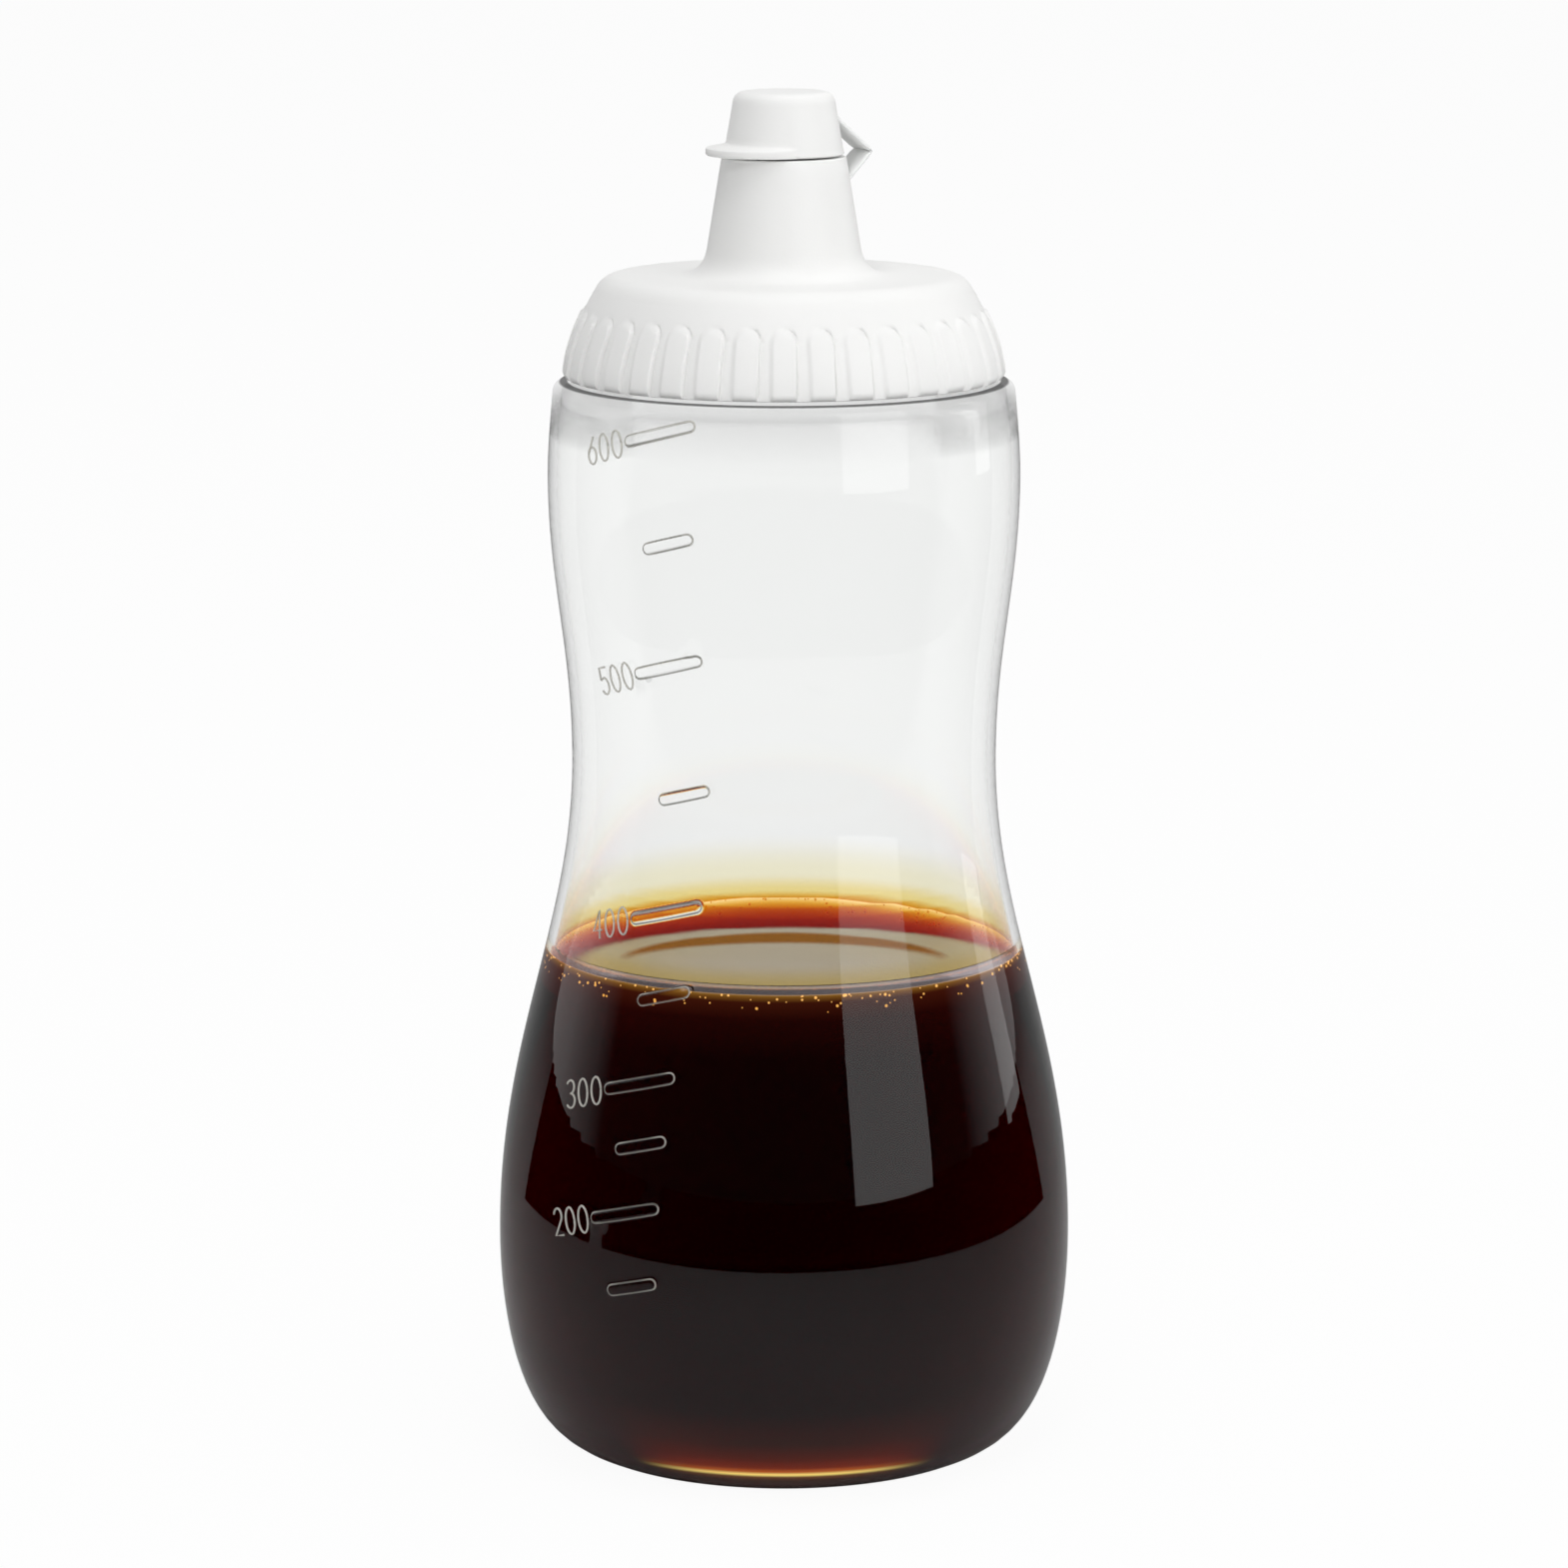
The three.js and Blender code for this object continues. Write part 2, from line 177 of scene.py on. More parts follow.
# Scale on the wall
MARK_HEIGHTS = [32, 42.5, 52.5, 61, 73.5, 85, 102, 120.5, 138.5, 154]
MARK_ROWS = (2.6, 0.22)
MARK_COLUMNS = (-3, 24, 80, 130)
LONG_MARK = 11.8
SHORT_MARK = 8.3
MARK_HALF_HEIGHT = 0.75
MARK_RELIEF = 0.4
MARK_EDGE = 0.35
MARK_SLANT = math.radians(15)
SCALE_START = math.radians(-156.5)
FIRST_NUMBER = 200
NUMBER_STEP = 100
DIGIT_HEIGHT = 3.9
DIGIT_WIDTH = 1.9
DIGIT_PITCH = 2.75
DIGIT_GAP = 0.8
STROKE_HALF = 0.17
STROKE_RISE = 0.2

# Clear plastic: its colour, the flow in its surface, and the painted shadow line and the shine of its shoulder
WHITE_LIGHT = (1, 1, 1, 1)
CLEAR_COLOUR = (0.985, 0.99, 0.985, 1)
CLEAR_IOR = 1.49
FLOW_SCALE, FLOW_DETAIL = 18.0, 1.0
FLOW_STRENGTH, FLOW_DISTANCE = 0.04, 0.001
SHOULDER_FADE = (150.0, 157.0)
SHOULDER_SHINE = 0.06
SHOULDER_ROUGHNESS = 0.1
# Painted shadow beside the cap's foot: its band of radii, the height above which it lies, its shades and stops
SHADOW_LINE = (31.3, 32.8)
SHADOW_ABOVE = 157.5
SHADOW_LIGHT, SHADOW_DARK = [0.93] * 3, [0.2] * 3
SHADOW_STOPS = [(0.0, SHADOW_LIGHT), (0.2, SHADOW_DARK), (0.78, SHADOW_DARK), (1.0, SHADOW_LIGHT)]
MARK_TINT = (0.85, 0.85, 0.83, 1)
MARK_WHITE = (0.8, 0.78, 0.72, 1)
MARK_WHITE_SHARE = 0.55
MARK_ROUGHNESS = 0.2

# Sauce: each oval of its top has a middle and a reach, sideways and towards the camera, and a soft edge's share
SAUCE_COLOUR = (0.93, 0.73, 0.1, 1)
SAUCE_DENSITY = 1000.0
SAUCE_IOR = 1.37
SURFACE_IOR = 1.5
THROUGH_IOR = 1.01
MIRROR_OVAL = ((1.5, 11.0), (31.0, 23.5), 0.12)
CRESCENT_OVAL = ((0.0, 12.0), (24.0, 20.5), 0.1)
INNER_OVAL = ((0.0, 16.0), (25.5, 17.5), 0.16)
MIRROR_SHEEN = 0.34
SHEEN_COLOUR = (1.0, 0.88, 0.92, 1)
SHEEN_ROUGHNESS = 0.05
CRESCENT_COLOUR = (0.34, 0.14, 0.02, 1)
EDGE_CLEAR = 20.0
# Painted glow that stands in for light through thin sauce: its height over the base, its reach towards the
# camera and its depth under the surface's edge
PAINTED_GLOW_HEIGHT = 14.0
PAINTED_GLOW_REACH = (27.0, 35.0)
PAINTED_EDGE_GLOW_DEPTH = 9.0
UPRIGHT_LIMIT = 0.5
# Colours of the painted glow over the base, by height
PAINTED_BASE_GLOW_STOPS = [
    (0.0, (0.006, 0.002, 0.001)), (0.22, (0.02, 0.008, 0.005)), (0.265, (0.12, 0.045, 0.015)),
    (0.295, (1.0, 0.75, 0.2)), (0.33, (0.4, 0.08, 0.008)), (0.38, (0.14, 0.011, 0.002)),
    (0.47, (0.065, 0.005, 0.001)), (0.65, (0.018, 0.002, 0.001)), (1.0, (0.0, 0.0, 0.0)),
]
# Colours of the painted glow along the surface's edge, by height
PAINTED_EDGE_GLOW_STOPS = [
    (0.0, (0.0, 0.0, 0.0)), (0.6, (0.008, 0.001, 0.0005)), (0.88, (0.035, 0.006, 0.002)),
    (0.95, (0.14, 0.055, 0.008)), (1.0, (0.28, 0.14, 0.025)),
]
FILM_STOPS = [
    (0, (0.8, 0.42, 0.03)), (0.13, (0.93, 0.76, 0.3)), (0.4, (0.97, 0.92, 0.7)), (1, (1, 1, 1)),
]
BUBBLE_COLOUR = (0.9, 0.6, 0.25, 1)
BUBBLE_ROUGHNESS = 0.3
# Painted glow that makes the bubbles look lit
PAINTED_BUBBLE_GLOW_COLOUR = (0.9, 0.5, 0.15, 1)
PAINTED_BUBBLE_GLOW = 0.75

# Moulded plastic: faint patches in its colour and a fine grain
PATCH_SCALE, PATCH_DETAIL = 60.0, 3.0
PATCH_PLACES = (0.3, 0.7)
PATCH_SHADE = 0.985
GRAIN_SCALE, GRAIN_DETAIL = 2500.0, 2.0
GRAIN_STRENGTH, GRAIN_DISTANCE = 0.05, 0.0002

# Floor and world: their brightness, and the shares that reflected and bent light don't see
FLOOR_HALF = 6.0
FLOOR_COLOUR = (0.9, 0.9, 0.9, 1)
FLOOR_GLOW = 0.95
FLOOR_NEAR = 40.0
FLOOR_REFLECTED = 230.0
FLOOR_NEAR_HIDDEN = 0.45
FLOOR_FAR_HIDDEN = 0.6
FLOOR_ASIDE = -0.5
FLOOR_FRONT = (40.0, 110.0)
FLOOR_FRONT_HIDDEN = 0.35
WORLD_TURN = (-0.35, 0.15)
WORLD_LEFT = 0.3
WORLD_RIGHT = 0.8
WORLD_FRONT = 0.02
WORLD_FRONT_BENT = 0.4

# Lights: azimuth from the camera's, positive to its right, elevation, distance and size in metres, watts,
# and whether reflections see the lamp
LIGHT_TARGET_HEIGHT = 100.0
LIGHTS = [
    ("window", 45, 12, 1.6, (1.0, 1.5), 6.0, True),
    ("side_strip", 112, 10, 1.6, (0.35, 1.4), 1.6, True),
    ("key", -14, 42, 1.6, (0.4, 0.4), 4.3, False),
    ("top", -14, 80, 1.5, (0.8, 0.8), 8.2, False),
]


def bezier(points, steps):
    """Points on a Bezier curve of any degree, without its first one."""
    points = np.array(points, float)
    degree = len(points) - 1
    made = []
    for i in range(1, steps + 1):
        t = i / steps
        weights = [math.comb(degree, k) * (1 - t) ** (degree - k) * t**k for k in range(degree + 1)]
        made.append(tuple(np.dot(weights, points)))
    return made


def line(start, end, steps):
    return [
        (start[0] + (end[0] - start[0]) * i / steps, start[1] + (end[1] - start[1]) * i / steps)
        for i in range(1, steps + 1)
    ]


def body_outline(start, offset, steps):
    """The body's side, from its foot to the shoulder's edge, grown by an offset."""
    foot_pull = (FOOT_RADIUS + FOOT_PULL * (BELLY[0] - FOOT_RADIUS) + offset, -offset)
    fall, rise, top = WAIST[1] - BELLY[1], COLLAR[1] - WAIST[1], SHOULDER[1] - COLLAR[1]
    turns = (BELLY, WAIST, COLLAR, SHOULDER)
    belly, waist, collar, shoulder = ((radius + offset, height) for radius, height in turns)

    def pull(turn, height, out=0.0):
        return (turn[0] + out, turn[1] + height)

    curves = [
        (steps, start, foot_pull, pull(belly, -BELLY_PULLS[0] * BELLY[1]), belly),
        (2 * steps, belly, pull(belly, BELLY_PULLS[1] * fall), pull(waist, -WAIST_PULLS[0] * fall), waist),
        (steps, waist, pull(waist, WAIST_PULLS[1] * rise), pull(collar, -COLLAR_PULLS[0] * rise), collar),
        (
            steps // 2, collar, pull(collar, COLLAR_PULLS[1] * top),
            pull(shoulder, -SHOULDER_PULL * top, SHOULDER_FLARE), shoulder,
        ),
    ]
    return [point for count, *points in curves for point in bezier(points, count)]


def refined(profile, low, high, spacing):
    """The profile with its points between two heights no further apart than a spacing."""
    made = [profile[0]]
    for point in profile[1:]:
        last = made[-1]
        middle = (last[1] + point[1]) / 2
        span = math.dist(last, point)
        if low <= middle <= high and span > spacing:
            made += line(last, point, math.ceil(span / spacing))
        else:
            made.append(point)
    return made


def make_object(name, vertices, faces, material, smooth=True):
    mesh = bpy.data.meshes.new(name)
    mesh.from_pydata((np.asarray(vertices, float) * MM).tolist(), [], faces)
    mesh.validate()
    mesh.materials.append(material)
    made = bpy.data.objects.new(name, mesh)
    bpy.context.scene.collection.objects.link(made)
    for polygon in mesh.polygons:
        polygon.use_smooth = smooth
    return made


def lathe(name, profile, material, angles=None, relief=None, closed=False, sharp=None, bands=()):
    """Turns a profile of (radius, height) about Z.

    Relief(angles, radius, height, row) moves points outwards. Each of bands is (material, first row, last row)
    for rows that have a material of their own.
    """
    if angles is None:
        angles = np.linspace(0, 2 * math.pi, 128, endpoint=False)
    angles = np.asarray(angles)
    count = len(angles)
    vertices = []
    rows = []
    for row, (radius, height) in enumerate(profile):
        if radius < 1e-6:
            rows.append([len(vertices)])
            vertices.append((0.0, 0.0, height))
            continue
        radii = np.full(count, float(radius))
        if relief is not None:
            radii = radii + relief(angles, radius, height, row)
        rows.append(list(range(len(vertices), len(vertices) + count)))
        vertices += list(zip(radii * np.cos(angles), radii * np.sin(angles), np.full(count, height)))
    faces = []
    banded = []
    pairs = list(zip(rows[:-1], rows[1:]))
    if closed:
        pairs.append((rows[-1], rows[0]))
    for row, (low, high) in enumerate(pairs):
        for i, band in enumerate(bands):
            if band[1] <= row < band[2]:
                banded += [(face, i + 1) for face in range(len(faces), len(faces) + count)]
        for i in range(count):
            j = (i + 1) % count
            if len(low) == 1 and len(high) == 1:
                break
            if len(low) == 1:
                faces.append((low[0], high[j], high[i]))
            elif len(high) == 1:
                faces.append((low[i], low[j], high[0]))
            else:
                faces.append((low[i], low[j], high[j], high[i]))
    made = make_object(name, vertices, faces, material)
    for band in bands:
        made.data.materials.append(band[0])
    for face, index in banded:
        made.data.polygons[face].material_index = index
    if sharp is not None:
        made.data.set_sharp_from_angle(angle=math.radians(sharp))
    return made


def smoothstep(x):
    x = np.clip(x, 0, 1)
    return x * x * (3 - 2 * x)


def segment_distance(u, v, a, b):
    """Distance of points (u, v) from the segment a to b."""
    du, dv = b[0] - a[0], b[1] - a[1]
    length = du * du + dv * dv
    t = np.clip(((u - a[0]) * du + (v - a[1]) * dv) / length, 0, 1) if length else 0
    return np.hypot(u - a[0] - t * du, v - a[1] - t * dv)


def arc_points(cx, cy, rx, ry, start, end, steps=10):
    """Points on part of an ellipse, from one angle in degrees to another."""
    turn = np.radians(np.linspace(start, end, steps + 1))
    return [(cx + rx * math.cos(t), cy + ry * math.sin(t)) for t in turn]


# Strokes of each digit in a box one wide and one high
DIGITS = {
    "0": arc_points(0.5, 0.5, 0.5, 0.5, 0, 360, 16),
    "2": arc_points(0.5, 0.72, 0.48, 0.28, 165, -25) + [(0.02, 0.0), (1.0, 0.0)],
    "3": arc_points(0.5, 0.76, 0.45, 0.24, 150, -90) + arc_points(0.5, 0.26, 0.5, 0.26, 90, -150),
    "4": [(0.75, 0.0), (0.75, 1.0), (0.0, 0.3), (1.0, 0.3)],
    "5": [(0.95, 1.0), (0.15, 1.0), (0.08, 0.56)] + arc_points(0.48, 0.31, 0.5, 0.31, 130, -150),
    "6": [(0.8, 0.98)] + arc_points(0.5, 0.31, 0.48, 0.31, 160, 520, 16),
}


def radius_at(height, side):
    """The radius at a height of a side that rises from point to point."""
    radii, heights = zip(*side)
    return float(np.interp(height, heights, radii))


def scale_layout():
    """The raised marks as (height, middle, half length) and the lines of marks and numbers drawn on the wall.

    Each line is (height, middle, points), with points sideways and up from the mark's middle, before its slant.
    """
    marks = []
    lines = []
    for i, height in enumerate(MARK_HEIGHTS):
        long_one = i % 2 == 1
        length = LONG_MARK if long_one else SHORT_MARK
        middle = LONG_MARK - length / 2
        half = length / 2 - MARK_HALF_HEIGHT
        marks.append((height, middle, half))
        right = arc_points(half, 0, MARK_HALF_HEIGHT, MARK_HALF_HEIGHT, -90, 90, 6)
        left = arc_points(-half, 0, MARK_HALF_HEIGHT, MARK_HALF_HEIGHT, 90, 270, 6)
        lines.append((height, middle, right + left + right[:1]))
        if not long_one:
            continue
        number = str(FIRST_NUMBER + NUMBER_STEP * (i // 2))
        for place, digit in enumerate(number):
            first = -length / 2 - DIGIT_GAP - DIGIT_PITCH * (len(number) - place) + DIGIT_PITCH - DIGIT_WIDTH
            points = [(first + DIGIT_WIDTH * x, DIGIT_HEIGHT * (y - 0.5)) for x, y in DIGITS[digit]]
            lines.append((height, middle, points))
    return marks, lines


def scale_relief(angles, radius, height):
    """How far the wall stands out at a height, for each angle, from the marks."""
    raised = np.zeros(len(angles))
    turn = (np.asarray(angles) - SCALE_START + math.pi) % (2 * math.pi) - math.pi
    side = turn * radius
    cos_s, sin_s = math.cos(MARK_SLANT), math.sin(MARK_SLANT)
    for mark_height, middle, half in MARKS:
        if abs(height - mark_height) > LONG_MARK / 2:
            continue
        du = side - middle
        dv = height - mark_height
        u = du * cos_s + dv * sin_s
        v = -du * sin_s + dv * cos_s
        distance = segment_distance(u, v, (-half, 0), (half, 0))
        edge = (MARK_HALF_HEIGHT + MARK_EDGE / 2 - distance) / MARK_EDGE
        raised = np.maximum(raised, smoothstep(edge))
    return MARK_RELIEF * raised


def thread_relief(angles, height, start, depth):
    """A right-handed helical ridge over the thread's turns, tapered at both ends."""
    raised = np.zeros(len(angles))
    turn = (np.asarray(angles) / (2 * math.pi)) % 1
    for whole in range(math.ceil(THREAD_TURNS) + 1):
        along = turn + whole
        centre = start + THREAD_PITCH * along
        flank = (THREAD_ROOT_HALF - np.abs(height - centre)) / (THREAD_ROOT_HALF - THREAD_CREST_HALF)
        fade = smoothstep(along / THREAD_FADE) * smoothstep((THREAD_TURNS - along) / THREAD_FADE)
        raised = np.maximum(raised, np.clip(flank, 0, 1) * fade)
    return depth * raised


# Materials


def toward_camera():
    """The level direction from the bottle to the camera."""
    azimuth = math.radians(CAMERA_AZIMUTH)
    return (math.sin(azimuth), -math.cos(azimuth), 0.0)


def camera_right():
    azimuth = math.radians(CAMERA_AZIMUTH)
    return (math.cos(azimuth), math.sin(azimuth), 0.0)


class Graph:
    """The shader nodes of one material or of the world, with short calls that add and link them."""

    def __init__(self, owner):
        owner.use_nodes = True
        self.owner = owner
        self.nodes = owner.node_tree.nodes
        self.links = owner.node_tree.links
        self.shader = self.nodes.get("Principled BSDF")

    def set(self, node, inputs):
        """Each input, by name or place, gets its number or colour, or the socket it is linked from."""
        for name, value in inputs.items():
            if isinstance(value, bpy.types.NodeSocket):
                self.links.new(value, node.inputs[name])
            else:
                node.inputs[name].default_value = value

    def add(self, kind, inputs=None, output=0):
        node = self.nodes.new("ShaderNode" + kind)
        self.set(node, inputs or {})
        return node.outputs[output]

    def math(self, operation, first, second, clamp=False):
        result = self.add("Math", {0: first, 1: second})
        result.node.operation = operation
        result.node.use_clamp = clamp
        return result

    def vector(self, operation, inputs, output="Value"):
        node = self.nodes.new("ShaderNodeVectorMath")
        node.operation = operation
        self.set(node, dict(enumerate(inputs)))
        return node.outputs[output]

    def span(self, value, low, high, start=0.0, end=1.0, smooth=False):
        """The value's way from low to high, as a number from start to end."""
        ends = {"From Min": low, "From Max": high, "To Min": start, "To Max": end}
        result = self.add("MapRange", {"Value": value, **ends}, "Result")
        if smooth:
            result.node.interpolation_type = "SMOOTHSTEP"
        return result

    def ramp(self, value, stops, easing="LINEAR"):
        """The value turned into a colour by stops of (place, colour)."""
        result = self.add("ValToRGB", {"Fac": value}, "Color")
        ramp = result.node.color_ramp
        ramp.interpolation = easing
        for place, colour in stops[1:-1]:
            ramp.elements.new(place)
        for element, (place, colour) in zip(ramp.elements, stops):
            element.position = place
            element.color = (*colour, 1)
        return result

    def mix(self, share, first, second):
        return self.add("MixShader", {"Fac": share, 1: first, 2: second})

    def position(self):
        return self.add("NewGeometry", output="Position")

    def height(self):
        return self.add("SeparateXYZ", {0: self.position()}, "Z")

    def noise(self, scale, detail):
        place = self.add("TexCoord", output="Object")
        return self.add("TexNoise", {"Vector": place, "Scale": scale, "Detail": detail}, "Fac")

    def bump(self, height, strength, distance):
        return self.add("Bump", {"Height": height, "Strength": strength, "Distance": distance})

    def rays(self, *names, how="MAXIMUM"):
        """One for rays of any of these kinds, or with MINIMUM for rays that are all of them at once."""
        share = self.add("LightPath", output=names[0])
        path = share.node
        for name in names[1:]:
            share = self.math(how, share, path.outputs[name])
        return share

    def mirror_rays(self):
        """Refracted rays count as glossy ones too, so a mirror's are those that are reflected as well."""
        return self.rays("Is Glossy Ray", "Is Reflection Ray", how="MINIMUM")

    def finish(self, surface, volume=None):
        """Links the material's output and gives the material back."""
        output = self.nodes["Material Output"]
        self.set(output, {"Surface": surface} if volume is None else {"Surface": surface, "Volume": volume})
        return self.owner


def new_graph(name, inputs):
    """A material with its main shader's inputs set."""
    graph = Graph(bpy.data.materials.new(name))
    graph.set(graph.shader, inputs)
    return graph


def clear_material():
    """Clear blown plastic with a touch of flow in its surface.

    From the shoulder up it lets light straight through, with a painted shadow line beside the cap's foot.
    """
    graph = new_graph("clear_plastic", {
        "Base Color": CLEAR_COLOUR,
        "Transmission Weight": 1.0,
        "IOR": CLEAR_IOR,
        "Roughness": 0.0,
    })
    flow = graph.bump(graph.noise(FLOW_SCALE, FLOW_DETAIL), FLOW_STRENGTH, FLOW_DISTANCE)
    graph.set(graph.shader, {"Normal": flow})
    height = graph.height()
    split = graph.add("SeparateXYZ", {0: graph.position()}).node
    flat = graph.add("CombineXYZ", {"X": split.outputs["X"], "Y": split.outputs["Y"]})
    on_top = graph.math("GREATER_THAN", height, SHADOW_ABOVE * MM)
    radius = graph.math("MULTIPLY", graph.vector("LENGTH", [flat]), on_top)
    shadow = graph.span(radius, SHADOW_LINE[0] * MM, SHADOW_LINE[1] * MM)
    # Painted shadow: the see-through colour turns dark in a band round the cap's foot
    straight = graph.add("BsdfTransparent", {"Color": graph.ramp(shadow, SHADOW_STOPS)})
    shine = graph.add("BsdfGlossy", {"Roughness": SHOULDER_ROUGHNESS})
    rim = graph.mix(SHOULDER_SHINE, straight, shine)
    fade = graph.span(height, SHOULDER_FADE[0] * MM, SHOULDER_FADE[1] * MM)
    return graph.finish(graph.mix(fade, graph.shader.outputs["BSDF"], rim))


def sauce_material():
    """Dark sauce: red-brown to black where deep, amber where thin, partly from its absorption and partly from a
    painted glow.

    The middle of its top is a mirror with a brown crescent, and the rest of its top lets light through.
    Its side bends light, but lets it leave unbent near the surface.
    """
    graph = new_graph("sauce_liquid", {
        "Base Color": WHITE_LIGHT,
        "Transmission Weight": 1.0,
        "IOR": SURFACE_IOR,
        "Roughness": 0.0,
    })
    volume = graph.add("VolumeAbsorption", {"Color": SAUCE_COLOUR, "Density": SAUCE_DENSITY})

    sheen = graph.add("BsdfGlossy", {"Color": SHEEN_COLOUR, "Roughness": SHEEN_ROUGHNESS})
    brown = graph.add("BsdfGlossy", {"Color": CRESCENT_COLOUR, "Roughness": SHEEN_ROUGHNESS})
    mirror = graph.mix(MIRROR_SHEEN, graph.shader.outputs["BSDF"], sheen)
    crescent = graph.math("SUBTRACT", oval(graph, *CRESCENT_OVAL), oval(graph, *INNER_OVAL), clamp=True)
    middle = graph.mix(crescent, mirror, brown)
    through = graph.add("BsdfRefraction", {"Color": WHITE_LIGHT, "Roughness": 0.0, "IOR": THROUGH_IOR})
    top = graph.mix(oval(graph, *MIRROR_OVAL), through, middle)

    height = graph.height()
    near_top = graph.math("GREATER_THAN", height, (FILL_HEIGHT - EDGE_CLEAR) * MM)
    leaving = graph.math("MULTIPLY", near_top, graph.add("NewGeometry", output="Backfacing"))
    bent = graph.add("BsdfRefraction", {"Color": WHITE_LIGHT, "Roughness": 0.0, "IOR": SAUCE_IOR})
    side = graph.mix(leaving, bent, graph.add("BsdfTransparent"))

    on_side = graph.math("LESS_THAN", height, (FILL_HEIGHT - WET_OVERLAP) * MM)
    # Painted glow: emission standing in for light that comes through thin sauce
    glow = graph.add("Emission", {"Color": painted_glow(graph, height)})
    return graph.finish(graph.add("AddShader", {0: graph.mix(on_side, top, side), 1: glow}), volume)


def oval(graph, middle, reach, edge):
    """One within an oval laid out from the camera's side, and none outside, with a soft edge."""
    squares = []
    for axis, centre, half in zip((camera_right(), toward_camera()), middle, reach):
        along = graph.vector("DOT_PRODUCT", [graph.position(), axis])
        share = graph.math("DIVIDE", graph.math("SUBTRACT", along, centre * MM), half * MM)
        squares.append(graph.math("MULTIPLY", share, share))
    return graph.span(graph.math("ADD", *squares), 1.0 - edge, 1.0 + edge, 1.0, 0.0, smooth=True)


def painted_glow(graph, height):
    """Painted glow that stands in for light coming through thin sauce: amber and red over the base, and amber
    along the surface's edge.
    """
    base = graph.ramp(graph.span(height, 0.0, PAINTED_GLOW_HEIGHT * MM), PAINTED_BASE_GLOW_STOPS)
    forward = graph.vector("DOT_PRODUCT", [graph.position(), toward_camera()])
    facing = graph.span(forward, PAINTED_GLOW_REACH[0] * MM, PAINTED_GLOW_REACH[1] * MM, smooth=True)
    surface = (FILL_HEIGHT + WET_OVERLAP) * MM
    edge = graph.ramp(graph.span(height, (FILL_HEIGHT - PAINTED_EDGE_GLOW_DEPTH) * MM, surface), PAINTED_EDGE_GLOW_STOPS)
    both = graph.vector("ADD", [scaled(graph, base, facing), edge], "Vector")
    below = graph.math("LESS_THAN", height, surface)
    slope = graph.add("SeparateXYZ", {0: graph.add("NewGeometry", output="Normal")}, "Z")
    upright = graph.math("LESS_THAN", slope, UPRIGHT_LIMIT)
    return scaled(graph, both, graph.math("MULTIPLY", below, upright))


def scaled(graph, colour, share):
    result = graph.vector("SCALE", [colour], "Vector")
    graph.set(result.node, {"Scale": share})
    return result


def moulded_material(name, colour, roughness, subsurface=0.0):
    """Moulded plastic with faint patches and a fine satin grain."""
    patches = (PATCH_PLACES[0], [c * PATCH_SHADE for c in colour]), (PATCH_PLACES[1], colour)
    graph = new_graph(name, {
        "Roughness": roughness,
        "IOR": CLEAR_IOR,
        "Subsurface Weight": subsurface,
        "Subsurface Radius": (1.0, 1.0, 1.0),
        "Subsurface Scale": MM,
    })
    graph.set(graph.shader, {
        "Base Color": graph.ramp(graph.noise(PATCH_SCALE, PATCH_DETAIL), patches),
        "Normal": graph.bump(graph.noise(GRAIN_SCALE, GRAIN_DETAIL), GRAIN_STRENGTH, GRAIN_DISTANCE),
    })
    return graph.owner


def wet_material():
    """The face where plastic and sauce touch. It bends light and throws none back."""
    graph = new_graph("clear_plastic_at_sauce", {})
    graph.nodes.remove(graph.shader)
    bent = graph.add("BsdfRefraction", {"Color": WHITE_LIGHT, "Roughness": 0.0, "IOR": CLEAR_IOR})
    return graph.finish(bent)


def film_material():
    """The thin film of sauce that clings to the wall over the surface, gone at its top."""
    graph = new_graph("sauce_film", {})
    graph.nodes.remove(graph.shader)
    share = graph.span(graph.height(), FILL_HEIGHT * MM, (FILL_HEIGHT + FILM_HEIGHT) * MM)
    return graph.finish(graph.add("BsdfTransparent", {"Color": graph.ramp(share, FILM_STOPS, "EASE")}))


def mark_edge_material():
    """Plastic that lets light straight through, with a share of white of its own."""
    graph = new_graph("clear_plastic_mark_edge", {
        "Base Color": MARK_WHITE,
        "Roughness": MARK_ROUGHNESS,
        "IOR": CLEAR_IOR,
    })
    clear = graph.add("BsdfTransparent", {"Color": MARK_TINT})
    return graph.finish(graph.mix(MARK_WHITE_SHARE, clear, graph.shader.outputs["BSDF"]))


# Bubbles with a painted glow of their own, standing in for light that catches them
def bubble_material():
    return new_graph("bubbles", {
        "Base Color": BUBBLE_COLOUR,
        "Roughness": BUBBLE_ROUGHNESS,
        "Emission Color": PAINTED_BUBBLE_GLOW_COLOUR,
        "Emission Strength": PAINTED_BUBBLE_GLOW,
    }).owner


CLEAR = clear_material()
MARK_EDGE_CLEAR = mark_edge_material()
WET_CLEAR = wet_material()
SAUCE = sauce_material()
FILM = film_material()
WHITE = moulded_material("white_plastic", (0.9, 0.9, 0.89), 0.42, subsurface=0.05)
STRAP = moulded_material("strap_plastic", (0.88, 0.89, 0.88), 0.5, subsurface=0.3)
RUBBER = moulded_material("seal_rubber", (0.68, 0.68, 0.65), 0.7)


# Bottle


def base_and_side(inner, start, steps):
    """The outline from the base's middle to the shoulder, inside the outer one by an offset."""
    foot_inner = FOOT_RADIUS - FOOT_WIDTH
    middle = (0, PUSH_UP + inner)
    profile = [middle]
    profile += bezier([middle, (foot_inner - PUSH_UP_FALL, middle[1]), (foot_inner, inner)], BASE_STEPS)
    profile += line((foot_inner, inner), start, FOOT_STEPS)
    return profile + body_outline(start, -inner, steps)


def shoulder_points(edge, top, steps):
    """The shoulder's round edge, from the side's end to its flat top."""
    return bezier(
        [(edge, SHOULDER[1]), (edge - NECK_EASE, top), (edge - SHOULDER_ROUND, top)], steps
    )


